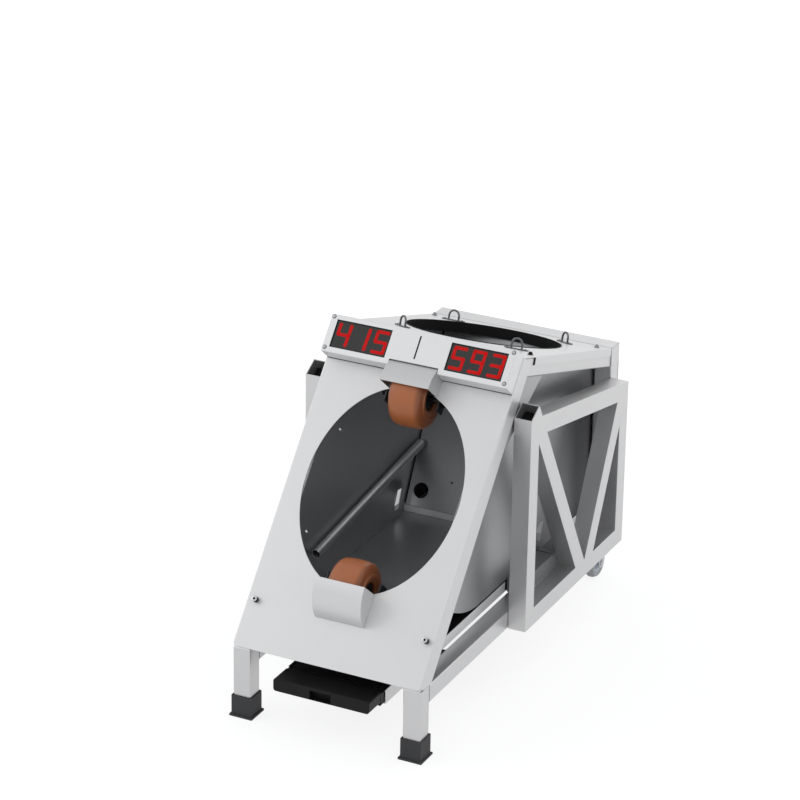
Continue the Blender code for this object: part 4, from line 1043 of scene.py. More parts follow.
@dataclass
class SubAssembly:
    """Part of the machine whose pieces are built and dressed together."""

    body: str = "frame"

    def dress(self, piece: Piece, finish: Finish, *nodes: str, view: Optional[Matrix] = None,
            smooth: float = 32, body: str = "") -> None:
        """Paints a finished piece and fixes it to its body.

        Args:
            piece: The piece.
            finish: Its finish.
            *nodes: Frame nodes that it stands for.
            view: Where its drawing goes, unless it is in its place.
            smooth: Angle in degrees up to which it is shaded smooth.
            body: The body that it rides on, or the sub-assembly's own.
        """
        if view is not None:
            place(piece, view)
        shade(piece, smooth)
        piece.data.materials.clear()
        piece.data.materials.append(material(finish))
        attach(piece, body or self.body)
        if nodes:
            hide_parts(*nodes)
        LOG.info("%s: %d faces, %s", piece.name, len(piece.data.polygons), finish.name)

    def dress_pair(self, piece: Piece, finish: Finish, node: str = "", smooth: float = 32) -> None:
        """Dresses a piece of the right side and its mirrored twin.

        Args:
            piece: The piece, whose name ends in _right.
            finish: Their finish.
            node: The nodes' name without its side, if they stand for any.
            smooth: Angle in degrees up to which they are shaded smooth.
        """
        twin = mirror(piece, piece.name.replace("_right", "_left"))
        for made, side in ((piece, Side.RIGHT), (twin, Side.LEFT)):
            self.dress(made, finish, *([f"{node}_{side.word}"] if node else []), smooth=smooth)

    def build(self) -> None:
        """Builds and dresses all the pieces."""
        raise NotImplementedError


def bar(name: str, start: Vector, end: Vector, wide: Vector = ACROSS, start_saws: Sequence[Line] = (),
        end_saws: Sequence[Line] = ()) -> Piece:
    """Square tube from start to end, sawn to its mitres and open at its ends.

    Args:
        name: Its name.
        start: Middle of its start.
        end: Middle of its end.
        wide: Direction that one pair of its faces looks.
        start_saws: Planes (point, direction into the tube) that trim the start.
        end_saws: Planes (point, direction out of the tube) that trim the end.

    Returns:
        The tube.
    """
    along = (end - start).normalized()
    spare = 0.05
    low = start - along * (spare if start_saws else 0)
    high = end + along * (spare if end_saws else 0)
    half = L.tube / 2
    piece = block(name, (-half, -half, 0), (half, half, (high - low).length))
    turn = wide.normalized()
    bevel_edges(piece, longer(2, half * 2.5), L.corner, 3)
    for way, saws in ((-1, start_saws), (1, end_saws)):
        if not saws:
            hollow_end(piece, Vector((0, 0, way)), L.wall, min(0.05, (high - low).length * 0.4))
    place(piece, basis(low, turn, along.cross(turn)))
    for spot, way in start_saws:
        bisect(piece, spot, -way)
    for spot, way in end_saws:
        bisect(piece, spot, way)
    return piece


def wire(name: str, path: Sequence[Vector], radius: float, closed: bool = False, sides: int = 12) -> Piece:
    """Round rod bent along a path.

    Args:
        name: Its name.
        path: Points along its middle, in the machine's frame.
        radius: Half its thickness.
        closed: True for a ring.
        sides: Rough number of flats round it.

    Returns:
        The rod.
    """
    focus(None)
    bpy.ops.curve.primitive_nurbs_path_add(radius=1, location=(0, 0, 0))
    made = bpy.context.object
    made.data.splines.clear()
    spline = made.data.splines.new("POLY")
    spline.points.add(len(path) - 1)
    for point, spot in zip(spline.points, path):
        point.co = (*spot, 1.0)
    spline.use_cyclic_u = closed
    made.data.dimensions = "3D"
    made.data.bevel_depth = radius
    made.data.bevel_resolution = max(sides // 4 - 1, 1)
    made.data.use_fill_caps = not closed
    bpy.ops.object.convert(target="MESH")
    return label(bpy.context.object, name)


@dataclass
class BaseFrame(SubAssembly):
    """Legs, rails, rear frame and the tubes behind the front plate and lid."""

    foot_base: float = 0.004
    cross_over_hood: float = 0.001
    cross_up: float = 0.005

    def build(self) -> None:
        """Builds the welded frame."""
        self.base()
        self.rear()
        self.upper()

    def base(self) -> None:
        """Legs and base rails."""
        for side in Side:
            x = side.value * L.rail_x
            leg = bar("leg_tube_" + side.word, L.at(x, L.tube / 2, self.foot_base + L.gap),
                L.at(x, L.tube / 2, L.rail_top))
            self.dress(leg, Paint.frame, "leg_" + side.word)
            middle = L.rail_bottom + L.tube / 2
            rail = bar("base_rail_tube_" + side.word, L.at(x, L.tube + L.gap, middle),
                L.at(x, L.rear_front - L.gap, middle))
            self.dress(rail, Paint.frame, "base_rail_" + side.word)

    def rear(self) -> None:
        """Rectangle of welded tube at the machine's rear."""
        out, inn = L.half_width, L.half_width - L.tube
        low, high = L.rail_bottom, L.rear_top
        foot, neck = low + L.tube, high - L.tube
        bars = (("post_left", [(-out, foot), (-inn, foot), (-inn, neck), (-out, neck)], (1, 3)),
            ("post_right", [(inn, foot), (out, foot), (out, neck), (inn, neck)], (1, 3)),
            ("sill", [(-out, low), (out, low), (out, foot), (-out, foot)], (0, 2)),
            ("head", [(-out, neck), (out, neck), (out, high), (-out, high)], (0, 2)))
        pieces = []
        for name, outline, long_sides in bars:
            piece = cutout("rear_" + name, outline, 0, L.tube)
            sides = [(outline[i], outline[(i + 1) % 4]) for i in long_sides]
            bevel_edges(piece, lambda e: any(all(min((v.co.xy - Vector(p)).length for p in pair) < 1e-5
                for v in e.verts) and (e.verts[0].co.xy - e.verts[1].co.xy).length > 1e-4 for pair in sides),
                L.corner, 3)
            pieces.append(place(piece, front_view(L.length)))
        welded = join("rear_frame_welded", pieces)
        self.dress(welded, Paint.frame, "rear_frame")

    def upper(self) -> None:
        """Leaning posts, top tubes and the two cross tubes."""
        inset = L.skin + L.tube / 2
        ridge_front = L.on_plate(0, L.plate_length, L.skin)
        corner = meet((ridge_front, L.up_plate), (L.on_lid(0, 0, L.skin), L.down_lid))
        mitre = (L.up_plate + L.down_lid).normalized()
        for side in Side:
            x = side.value * L.post_x
            post = bar("front_post_tube_" + side.word, L.on_plate(x, inset, inset),
                L.on_plate(x, L.plate_length, inset), start_saws=[(L.at(x, 0, L.rail_top + L.gap), UPWARD)],
                end_saws=[(corner - mitre * L.gap / 2, mitre)])
            self.dress(post, Paint.frame, "front_post_" + side.word)
            top = bar("top_tube_piece_" + side.word, L.on_lid(x, 0.01, inset),
                L.on_lid(x, L.lid_length - 0.01, inset), start_saws=[(corner + mitre * L.gap / 2, mitre)],
                end_saws=[(L.at(x, L.rear_front - L.gap, 0), REARWARD)])
            self.dress(top, Paint.frame, "top_tube_" + side.word)
        half = L.post_x - L.tube / 2 - L.gap
        upper_s = L.upper_wheel_s + L.hood_radius + L.tube / 2 + self.cross_over_hood
        for name, s in (("front_lower_cross_tube", self.cross_up + L.tube / 2),
                ("front_upper_cross_tube", upper_s)):
            cross = bar(name + "_piece", L.on_plate(-half, s, inset), L.on_plate(half, s, inset),
                wide=L.behind_plate)
            self.dress(cross, Paint.frame, name)


@dataclass
class RubberFeet(SubAssembly):
    """Rubber sleeves with a flanged sole under the two legs."""

    wall: float = 0.002
    height: float = 0.036
    base: float = 0.004
    flange: float = 0.040

    def build(self) -> None:
        """Builds both feet."""
        for side in Side:
            self.dress(self.foot(side), Paint.rubber, "foot_" + side.word)

    def foot(self, side: Side) -> Piece:
        """One sleeve, drawn in by an inset and extruded round its leg.

        Args:
            side: The leg's side.

        Returns:
            The sleeve.
        """
        half = self.flange / 2
        x, y = side.value * L.rail_x, L.at(0, L.tube / 2, 0).y
        foot = block("rubber_foot_" + side.word, (x - half, y - half, 0),
            (x + half, y + half, self.base - L.gap))
        outer = L.tube / 2 + L.gap + self.wall
        mesh = edit(foot, kind="FACE")
        for face in mesh.faces:
            face.select_set(face.normal.z > 0.9)
        bmesh.update_edit_mesh(foot.data)
        bpy.ops.mesh.inset(thickness=half - outer, depth=0)
        rise = self.height - self.base + L.gap
        extrude((0, 0, rise))
        bpy.ops.mesh.inset(thickness=self.wall, depth=0)
        extrude((0, 0, self.base - self.height))
        done()
        soften(foot, 0.0007, 2, 40)
        return foot


@dataclass
class SideTruss(SubAssembly):
    """Welded triangulated frame of square tube on one side."""

    rear: float = 0.688
    front: float = 0.3065
    brace_foot: float = 0.5325
    brace_slope: float = radians(60.2)
    brace_height: float = 0.3456
    top_spot: Point = (0.348, 0.443)
    top_slope: float = radians(11.28)
    strut_foot: float = 0.534
    strut_slope: float = radians(64.5)
    open_depth: float = 0.060
    corner: float = 0.0011
    left_out: float = 0.0098
    spacer: float = 0.040
    plug_depth: float = 0.020

    @staticmethod
    def line(y: float, z: float, slope: float, side: float = 0.0) -> Line:
        """Line of the side view, moved side to its right.

        Args:
            y: Its point's Y.
            z: Its point's Z.
            slope: Its slope.
            side: How far it is moved.

        Returns:
            Its point and direction.
        """
        way = Vector((0, cos(slope), sin(slope)))
        across = Vector((0, sin(slope), -cos(slope)))
        return L.at(0, y, z) + across * side, way

    @staticmethod
    def corners(*lines: Line) -> list[Point]:
        """Corners (y, z) where each line meets the next."""
        return L.flat(meet(line, lines[(i + 1) % len(lines)]) for i, line in enumerate(lines))

    def build(self) -> None:
        """Builds both trusses."""
        for side in Side:
            self.truss(side)

    def truss(self, side: Side) -> None:
        """Outline with three openings, rounded all over, its brace left open at the top.

        Args:
            side: The truss's side.
        """
        up = QUARTER
        base, sill = self.line(0, L.rail_bottom, 0), self.line(0, L.rail_top, 0)
        front, front_in = self.line(self.front, 0, up), self.line(self.front + L.tube, 0, up)
        rear, rear_in = self.line(self.rear, 0, up), self.line(self.rear - L.tube, 0, up)
        top = self.line(*self.top_spot, -self.top_slope)
        top_in = self.line(*self.top_spot, -self.top_slope, L.tube)
        brace = self.line(self.brace_foot, L.rail_top, -self.brace_slope)
        brace_in = self.line(self.brace_foot, L.rail_top, -self.brace_slope, L.tube)
        up_brace = -brace[1]
        tip = brace[0] + up_brace * (self.brace_height / sin(self.brace_slope))
        past_tip = (tip + up_brace * L.tube, Vector((0, sin(self.brace_slope), cos(self.brace_slope))))
        strut = self.line(self.strut_foot, L.rail_top, self.strut_slope)
        strut_in = self.line(self.strut_foot, L.rail_top, self.strut_slope, L.tube)
        out = self.left_out if side is Side.LEFT else 0.0
        x, half = side.value * (L.truss_x + out), L.tube / 2
        truss = cutout("truss", self.corners(base, rear, top, brace, past_tip, brace_in, front), -half, half)
        holes = (self.corners(sill, front_in, brace_in), self.corners(sill, brace, top_in, strut),
            self.corners(sill, strut_in, rear_in))
        subtract(truss, *(cutout("opening", hole, -L.tube, L.tube) for hole in holes))
        soften(truss, self.corner, 3, 40)
        place(truss, side_view(x))
        bisect(truss, tip, up_brace)
        hollow_end(truss, up_brace, L.wall, self.open_depth)
        middle = tip + (brace_in[0] - brace[0]) / 2 + ACROSS * x - up_brace * self.plug_depth
        plug = block("brace_plug_" + side.word, (-0.013, -0.013, -0.002), (0.013, 0.013, 0))
        self.dress(place(plug, basis(middle, ACROSS, up_brace.cross(ACROSS))), Paint.black)
        parts = [truss] + (self.spacers() if out else [])
        self.dress(join("side_truss_" + side.word, parts), Paint.frame, "truss_" + side.word)

    def spacers(self) -> list[Piece]:
        """Welded blocks that hold the left truss away from the frame.

        Returns:
            The blocks.
        """
        inner, outer = -L.half_width - L.gap, -L.half_width - L.gap - self.left_out
        setback, high = 0.003, L.rear_top - L.tube * 3
        spots = ((self.front, self.front + self.spacer, L.rail_bottom),
            (self.rear - self.spacer, self.rear, L.rail_bottom), (self.rear - L.tube, self.rear, high))
        made = [block("spacer", L.at(outer, y0 + setback, z + setback),
            L.at(inner, y1 - setback, z + L.tube - setback)) for y0, y1, z in spots]
        for piece in made:
            soften(piece, 0.0006, 2, 40)
        return made


def folded_sheet(name: str, half: float, depth: float, length: tuple[float, float], placement: Matrix,
        bend: float = 0.002) -> Piece:
    """Sheet with a flange folded down each side, drawn as its section.

    Args:
        name: Its name.
        half: Half its width.
        depth: Depth of its flanges.
        length: Where it starts and ends along its run.
        placement: Where the section's drawing goes.
        bend: Outer bend radius.

    Returns:
        The sheet.
    """
    wall = L.sheet
    outer = [(-half, depth)] + arc((bend - half, bend), bend, pi, pi * 1.5, 5)
    outer += arc((half - bend, bend), bend, pi * 1.5, pi * 2, 5) + [(half, depth)]
    inner = [(half - wall, depth)] + arc((half - bend, bend), bend - wall, pi * 2, pi * 1.5, 5)
    inner += arc((bend - half, bend), bend - wall, pi * 1.5, pi, 5) + [(wall - half, depth)]
    piece = cutout(name, outer + inner, *length)
    return place(piece, placement)


@dataclass
class FrontPlate(SubAssembly):
    """Leaning plate with folded sides, the ball opening and wheel notches."""

    flange: float = 0.0309
    opening: Sizes = (0.2865, 0.1304, 0.1676)
    corner: float = 0.008
    notch_half: float = 0.036
    wheel_reach: float = 0.0503

    def build(self) -> None:
        """Builds the plate."""
        plate = folded_sheet("leaning_front_plate", L.half_width, self.flange, (0, L.plate_length),
            basis(L.on_plate(0, 0, 0), ACROSS, L.behind_plate))
        subtract(plate, *self.cutters())
        soften(plate, 0.00025, 1)
        self.dress(plate, Paint.panel, "front_plate", smooth=30)

    def cutters(self) -> Iterable[Piece]:
        """Punches and saws that shape the flat plate.

        Returns:
            The tools, in their places.
        """
        s, half_x, half_s = self.opening
        hole = [(half_x * cos(a), s + half_s * sin(a)) for a in (2 * pi * i / 144 for i in range(144))]
        yield place(cutout("punch_opening", hole, -0.004, 0.004), plate_view(0))
        half = self.notch_half
        for wheel_s, way in ((L.lower_wheel_s, -1), (L.upper_wheel_s, 1)):
            edges = sorted((wheel_s + way * self.wheel_reach, wheel_s - way * 0.02))
            yield place(block("punch_notch", (-half, edges[0], -0.004), (half, edges[1], 0.004)), plate_view(0))
        far = 0.012
        for side in Side:
            edge = side.value * L.half_width
            turn = arc((edge - side.value * self.corner, self.corner), self.corner, -QUARTER,
                -QUARTER + side.value * QUARTER, 8)
            outline = turn + [(edge + side.value * far, self.corner), (edge + side.value * far, -far),
                (edge - side.value * self.corner, -far)]
            yield place(cutout("saw_corner", outline, -self.flange - far, far), plate_view(0))
        wide = L.half_width + far
        low, high = L.at(-wide, -L.tube, 0.06), L.at(wide, L.tube * 3, L.rail_top + L.gap)
        yield block("saw_foot", low, high)
        yield place(block("saw_head", (-wide, L.sheet, -L.skin), (wide, L.tube * 2, far)), lid_view(0))


@dataclass
class TopPlate(SubAssembly):
    """Sloping lid with the ball hole and its black edge trim."""

    flange: float = 0.013
    flange_from: float = 0.0458
    hole: Sizes = (0.2048, 0.1265)
    trim_wall: float = 0.0013
    trim_depth: float = 0.0165

    def build(self) -> None:
        """Builds the lid and the trim."""
        lid = folded_sheet("sloping_lid", L.half_width, self.flange, (L.skin, L.lid_length),
            basis(L.on_lid(0, 0, 0), ACROSS, L.below_lid))
        t, radius = self.hole
        tools = [place(drum("punch_hole", radius, -0.004, 0.004, (0, t), 144), lid_view(0))]
        for side in Side:
            xs = side.span(L.half_width - 0.002, L.half_width + 0.02)
            saw = block("saw_flange", (xs[0], -0.02, -0.04), (xs[1], self.flange_from, -L.sheet))
            tools.append(place(saw, lid_view(0)))
        subtract(lid, *tools)
        soften(lid, 0.00025, 1)
        self.dress(lid, Paint.panel, "top_plate", smooth=30)

        outer = radius - L.gap
        inner = outer - self.trim_wall
        lip = 0.0005
        profile = [(outer, -L.sheet + lip), (outer - lip, -L.sheet), (inner + lip, -L.sheet),
            (inner, -L.sheet + lip), (inner, self.trim_depth), (outer, self.trim_depth)]
        trim = turned("ball_hole_trim", profile, 144, closed=True)
        self.dress(trim, Paint.black, "ball_collar", view=basis(L.on_lid(0, t, 0), ACROSS, -L.down_lid))


@dataclass
class BallChannel(SubAssembly):
    """Walls, curved floor and back wall that lead the ball to the wheels."""

    bend: Sizes = (0.272, 0.1895, radians(24.7))
    back_y: float = 0.516
    back_kick: float = 0.0125
    back_lean: float = radians(27.4)
    cable_hole: Sizes = (-0.1034, 0.027, 0.013)
    small_hole: Sizes = (-0.0527, 0.050, 0.0018)
    upper_cross_s: float = 0.518
    wheel_cut: Sizes = (0.0545, 0.056, 0.1265)
    wheel_depth: float = 0.069
    skirt: Sizes = (0.4915, 0.610, 0.112)
    slot: Sizes = (0.0085, 0.374, 0.498)
    wall_slots: tuple[tuple[float, float], ...] = ((0.1756, 0.2470), (0.2858, 0.3774))

    def floor_path(self) -> list[Point]:
        """Top face of the floor in (y, z), from the rear to the plate.

        Returns:
            Its points.
        """
        y, radius, ramp = self.bend
        path = [(L.rear_front - L.gap, L.floor_z)]
        path += arc((y, L.floor_z + radius), radius, -QUARTER, -QUARTER - ramp, 24)
        start = L.at(0, *path[-1])
        end = meet((start, Vector((0, -cos(ramp), sin(ramp)))), (L.on_plate(0, 0, L.skin), L.up_plate))
        return path + L.flat([end])

    @staticmethod
    def offset(path: Sequence[Point], distance: float) -> list[Point]:
        """The path moved sideways, its corners kept sharp.

        Args:
            path: Its points.
            distance: How far, to the left of its run.

        Returns:
            The new points.
        """
        moved = []
        for i, (a, b) in enumerate(path):
            normals = []
            for j, k in ((i - 1, i), (i, i + 1)):
                if 0 <= j and k < len(path):
                    run = Vector((path[k][0] - path[j][0], path[k][1] - path[j][1])).normalized()
                    normals.append(Vector((-run.y, run.x)))
            total = sum(normals, Vector((0, 0)))
            step = total * (distance * len(normals) / total.length_squared)
            moved.append((a + step.x, b + step.y))
        return moved

    def build(self) -> None:
        """Builds the channel."""
        self.walls()
        self.floor()
        self.back_wall()

    def walls(self) -> None:
        """Side walls, notched for the cross tube, with their small slots."""
        under = self.offset(self.floor_path(), L.sheet)
        ramp = self.bend[2]
        rear_top = meet((L.at(0, L.rear_front - L.gap, 0), UPWARD), (L.on_lid(0, 0, L.skin), L.down_lid))
        clear_n, clear_s = L.skin + L.tube + L.gap, self.upper_cross_s - L.tube / 2 - L.gap
        notch_top = meet((L.on_plate(0, 0, clear_n), L.up_plate), (L.on_lid(0, 0, L.skin), L.down_lid))
        low = meet((L.at(0, *under[-2]), Vector((0, -cos(ramp), sin(ramp)))),
            (L.on_plate(0, 0, L.skin), L.up_plate))
        ends = [low, L.on_plate(0, clear_s, L.skin), L.on_plate(0, clear_s, clear_n), notch_top, rear_top]
        outline = under[:-1] + L.flat(ends)
        window = [(0.482, 0.156), (0.4935, 0.155), (0.506, 0.187), (0.492, 0.189), (0.478, 0.182)]
        wall = place(cutout("channel_side_right", outline, 0, L.sheet), side_view(L.channel_half))
        tools = [place(cutout("punch_window", window, -0.005, 0.005), side_view(L.channel_half))]
        for y, z in self.wall_slots:
            slot = block("punch_slot", (-0.0045, -0.0014, -0.005), (0.0045, 0.0014, 0.005))
            lean = basis(L.at(L.channel_half, y, z), L.up_plate, L.behind_plate)
            tools.append(place(slot, lean @ Matrix.Rotation(QUARTER, 4, "Z")))
        subtract(wall, *tools)
        soften(wall)
        y0, y1, low_z, sheet = *self.skirt, L.channel_half + L.sheet
        skirt = block("channel_skirt_right", L.at(L.channel_half, y0, low_z),
            L.at(sheet, y1, L.floor_z - L.sheet - L.gap))
        self.dress_pair(skirt, Paint.seat)
        self.dress_pair(wall, Paint.channel, "channel_wall", smooth=25)

    def floor(self) -> None:
        """Rolled floor sheet with the feed slot and the wheel cut-out."""
        path = self.floor_path()
        half = L.channel_half - L.gap
        sheet = place(cutout("channel_rolled_floor", path + self.offset(path, L.sheet)[::-1], -half, half),
            side_view(0))
        wide, reach, wheel_s = self.wheel_cut
        x, y0, y1 = self.slot
        slot = block("punch_slot", L.at(-x, y0, 0.1), L.at(x, y1, 0.2))
        wheel = place(block("punch_wheel", (-wide, wheel_s - reach, -self.wheel_depth),
            (wide, wheel_s + reach, reach)), plate_view(0))
        subtract(sheet, slot, wheel)
        soften(sheet)
        self.dress(sheet, Paint.channel, "channel_floor", smooth=25)

    def back_wall(self) -> None:
        """Leaning back wall on a short upright kick, with two holes."""
        foot = L.floor_z + L.gap
        bend = 0.003
        path = [(self.back_y, foot)]
        lean = Vector((0, sin(self.back_lean), cos(self.back_lean)))
        knee = L.at(0, self.back_y, foot + self.back_kick)
        end = meet((knee, lean), (L.on_lid(0, 0, L.skin + L.gap), L.down_lid))
        centre = (self.back_y + bend, foot + self.back_kick - bend * tan(self.back_lean / 2))
        path += arc(centre, bend, pi, pi - self.back_lean, 6)
        path += L.flat([end])
        half = L.channel_half - L.gap
        wall = place(cutout("channel_back", path + self.offset(path, -L.sheet)[::-1], -half, half),
            side_view(0))
        for x, up, radius in (self.cable_hole, self.small_hole):
            drill = drum("drill", radius, -0.01, 0.01, sides=48)
            subtract(wall, place(drill, basis(knee + lean * up + ACROSS * x, ACROSS, lean)))
        soften(wall)
        self.dress(wall, Paint.channel, "back_wall", smooth=25)
        # Thin strip over the kick in a light copy of the channel paint: painted highlight on the kick.
        fold = block("back_wall_fold_painted_highlight", L.at(-half, self.back_y - 0.0004, foot + 0.0002),
            L.at(half, self.back_y, foot + self.back_kick - 0.001))
        self.dress(fold, Paint.kick)
        # Black strip in the corner between the left wall and the back wall: painted shade.
        seam = block("back_wall_corner_shade", (-0.0009, 0.002, 0), (0.0009, (end - knee).length - 0.004, 0.0004))
        self.dress(seam, Paint.black, view=basis(knee + ACROSS * (0.0012 - half), ACROSS, lean))


@dataclass
class GuidePipes(SubAssembly):
    """Round pipes that carry the ball along the channel."""

    radius: float = 0.0077
    wall: float = 0.0016
    front: Point = (0.191, 0.203)
    rear: Point = (0.557, 0.250)

    def build(self) -> None:
        """Builds one pipe and its twin."""
        x = L.channel_half - L.gap - self.radius
        start, end = L.at(x, *self.front), L.at(x, *self.rear)
        inner, lip = self.radius - self.wall, 0.0003
        length = (end - start).length
        deep = 0.04
        profile = [(0.0, deep), (inner, deep), (inner, lip), (inner + lip, 0), (self.radius - lip, 0),
            (self.radius, lip), (self.radius, length - lip), (self.radius - lip, length), (inner + lip, length),
            (inner, length - lip), (inner, length - deep), (0.0, length - deep)]
        pipe = turned("guide_rail_right", profile, 32)
        along = (end - start).normalized()
        place(pipe, basis(start, ACROSS, along.cross(ACROSS)))
        self.dress_pair(pipe, Paint.pipe, "guide_pipe")


@dataclass
class DeckAndMounts(SubAssembly):
    """Folded deck in front and the black blocks that seat the channel."""

    depth: float = 0.0195
    # Overhang, thickness and rear reach of the black liner that paints the shade in the gap between deck and
    # channel.
    shade_liner: Sizes = (0.0007, 0.0013, 0.010)

    def build(self) -> None:
        """Builds the deck and both mounts."""
        low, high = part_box("deck_plate")
        length = high.y - low.y
        half = L.channel_half + L.sheet
        front = Vector((0, low.y, high.z))
        deck = folded_sheet("folded_deck", half, self.depth, (0, length), basis(front, ACROSS, -UPWARD))
        soften(deck)
        # The deck takes the light copy of the silver paint: painted light.
        self.dress(deck, Paint.deck, "deck_plate")
        # A black liner over the deck's top and a black trim at its rear end: painted shade in the gap between
        # the deck and the channel walls.
        past, thick, long = self.shade_liner
        wide = half + past
        shade_liner = block("deck_shade_liner", (-wide, low.y + 0.001, high.z - thick),
            (wide, high.y + long, high.z + 0.0008))
        edge = block("deck_end_shade_trim", (-half, high.y, high.z - self.depth),
            (half, high.y + long, high.z - thick))
        for piece in (shade_liner, edge):
            soften(piece, 0.0002, 1, 40)
            self.dress(piece, Paint.black)
        for side in Side:
            low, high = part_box("channel_mount_" + side.word)
            seat = block("channel_seat_" + side.word, low, high)
            soften(seat, 0.0012, 3, 40)
            for y in (low.y + 0.012, high.y - 0.016):
                subtract(seat, block("groove", (low.x - 0.01, y, high.z - 0.004),
                    (high.x + 0.01, y + 0.004, high.z + 0.01)))
            self.dress(seat, Paint.seat, "channel_mount_" + side.word)


@dataclass
class RearPanel(SubAssembly):
    """Rear cover folded over the frame, and the control box inside it."""

    seam: float = 0.018

    def build(self) -> None:
        """Builds the cover and the box."""
        y, z = L.length + L.gap, L.rear_top + L.gap
        bend, half = 0.0025, L.half_width
        path = [(y + L.sheet, L.rail_bottom)]
        path += arc((y + L.sheet - bend, z + L.sheet - bend), bend, 0, QUARTER, 6)
        path += [(L.rear_front + L.gap, z + L.sheet), (L.rear_front + L.gap, z)]
        path += arc((y + L.sheet - bend, z + L.sheet - bend), bend - L.sheet, QUARTER, 0, 6)
        path += [(y, L.rail_bottom)]
        cover = place(cutout("folded_rear_cover", path, -half, half), side_view(0))
        soften(cover)
        self.dress(cover, Paint.panel, "rear_cover", smooth=30)

        low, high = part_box("control_box")
        box = block("control_case", low, high)
        soften(box, 0.0025, 3, 40)
        edge = high.y - self.seam
        groove(box, low, high, (edge, edge + 0.0012), 0.0008)
        self.dress(box, Paint.plastic, "control_box")


@dataclass
class ScoreDisplay(SubAssembly):
    """Housing across the plate's head with two lit counters."""

    half: float = 0.159
    low: float = 0.4755
    high: float = 0.538
    depth: float = 0.030
    window: Sizes = (0.051, 0.1468, 0.4845, 0.530)
    digit: Sizes = (0.0238, 0.0385, 0.0053)
    pitch: float = 0.0324
    shift: float = 0.0010
    slant: float = radians(2.5)
    # Width of the black ring that paints the shade on the walls of each window's recess.
    gasket: float = 0.0010

    SEGMENTS = {"1": "bc", "3": "abcdg", "4": "bcfg", "5": "acdfg", "9": "abcdfg"}

    def build(self) -> None:
        """Builds the housing, its counters and its small parts."""
        self.housing()
        for side, number in ((Side.LEFT, "415"), (Side.RIGHT, "593")):
            self.counter(side, number)

    def housing(self) -> None:
        """Bent housing with two windows and room for the wheel hood."""
        box = block("display_case", (-self.half, self.low, L.gap), (self.half, self.high, self.depth))
        bevel_edges(box, lambda e: all(v.co.z > self.depth - 1e-4 for v in e.verts)
            or abs(e.verts[0].co.z - e.verts[1].co.z) > 0.01, 0.0016, 4)
        place(box, plate_view(0))
        inner = self.half - L.sheet
        tools = [block("hollow", (-inner, self.low + L.sheet, -0.01), (inner, self.high - L.sheet,
            self.depth - L.sheet))]
        reach = L.wheel_n + self.depth - L.sheet
        notch_top = L.upper_wheel_s + sqrt(L.hood_radius ** 2 - reach ** 2) + 0.0020
        notch = L.hood_half + L.gap * 2
        tools.append(block("notch", (-notch, self.low - 0.01, -0.01), (notch, notch_top, self.depth + 0.01)))
        x0, x1, s0, s1 = self.window
        for side in Side:
            xs = side.span(x0, x1)
            tools.append(block("window", (xs[0], s0, self.depth - 0.005), (xs[1], s1, self.depth + 0.005)))
        subtract(box, *(place(tool, plate_view(0)) for tool in tools))
        soften(box)
        self.dress(box, Paint.display, "display_housing", smooth=30)

    def counter(self, side: Side, number: str) -> None:
        """Counter behind its window, with lit digits.

        Args:
            side: The counter's side.
            number: The number that it shows.
        """
        x0, x1, s0, s1 = self.window
        lap, thick = 0.003, 0.008
        xs = side.span(x0 - lap, x1 + lap)
        face = self.depth - L.skin
        pane = block("counter_pane_" + side.word, (xs[0], s0 - lap, face - thick), (xs[1], s1 + lap, face))
        soften(pane, 0.0004, 2, 40)
        self.dress(pane, Paint.glass, "counter_" + side.word, view=plate_view(0))
        xs = side.span(x0, x1)
        # Black ring on the walls of the window's recess: painted shade.
        ring = block("window_gasket_" + side.word, (xs[0], s0, face), (xs[1], s1, self.depth - 0.0002))
        inset = self.gasket
        subtract(ring, block("core", (xs[0] + inset, s0 + inset, face - 0.01),
            (xs[1] - inset, s1 - inset, self.depth + 0.01)))
        self.dress(ring, Paint.black, view=plate_view(0))
        # Black strip in the crease under the housing, on the plate: painted shade.
        xs = side.span(L.hood_half + 0.001, self.half - 0.0005)
        shade_strip = block("display_seal_" + side.word, (xs[0], self.low - 0.0007, 0.0001), (xs[1], self.low, 0.0012))
        self.dress(shade_strip, Paint.black, view=plate_view(0))
        middle = side.value * (x0 + x1) / 2 + self.shift
        lit = []
        for order, figure in enumerate(number):
            centre = (middle + (order - 1) * self.pitch, (s0 + s1) / 2)
            lit += [self.segment(centre, key) for key in self.SEGMENTS[figure]]
        digits = join("lit_digits_" + side.word, lit)
        self.dress(digits, Paint.lit, view=plate_view(0))

    def segment(self, centre: Point, key: str) -> Piece:
        """One lit bar with pointed ends, slanted with its digit.

        Args:
            centre: Middle of the digit.
            key: The bar's letter, from a at the top round to g in the middle.

        Returns:
            The bar.
        """
        wide, tall, thick = self.digit
        half_w, half_t = (wide - thick) / 2, (tall - thick) / 4
        spots = {"a": (0, 2, False), "b": (1, 1, True), "c": (1, -1, True), "d": (0, -2, False),
            "e": (-1, -1, True), "f": (-1, 1, True), "g": (0, 0, False)}
        u, v, upright = spots[key]
        t = thick / 2
        long = (half_t if upright else half_w) + t * 0.7
        cut = t * 0.45
        shape = [(-long, cut - t), (cut - long, -t), (long - cut, -t), (long, cut - t), (long, t - cut),
            (long - cut, t), (cut - long, t), (-long, t - cut)]
        shape = [(b, -a) for a, b in shape] if upright else shape
        x0, y0 = u * half_w, v * half_t
        lean = tan(self.slant)
        face = self.depth - L.skin
        outline = [(centre[0] + x0 + a + (y0 + b) * lean, centre[1] + y0 + b) for a, b in shape]
        return cutout("segment_" + key, outline, face, face + 0.0003)


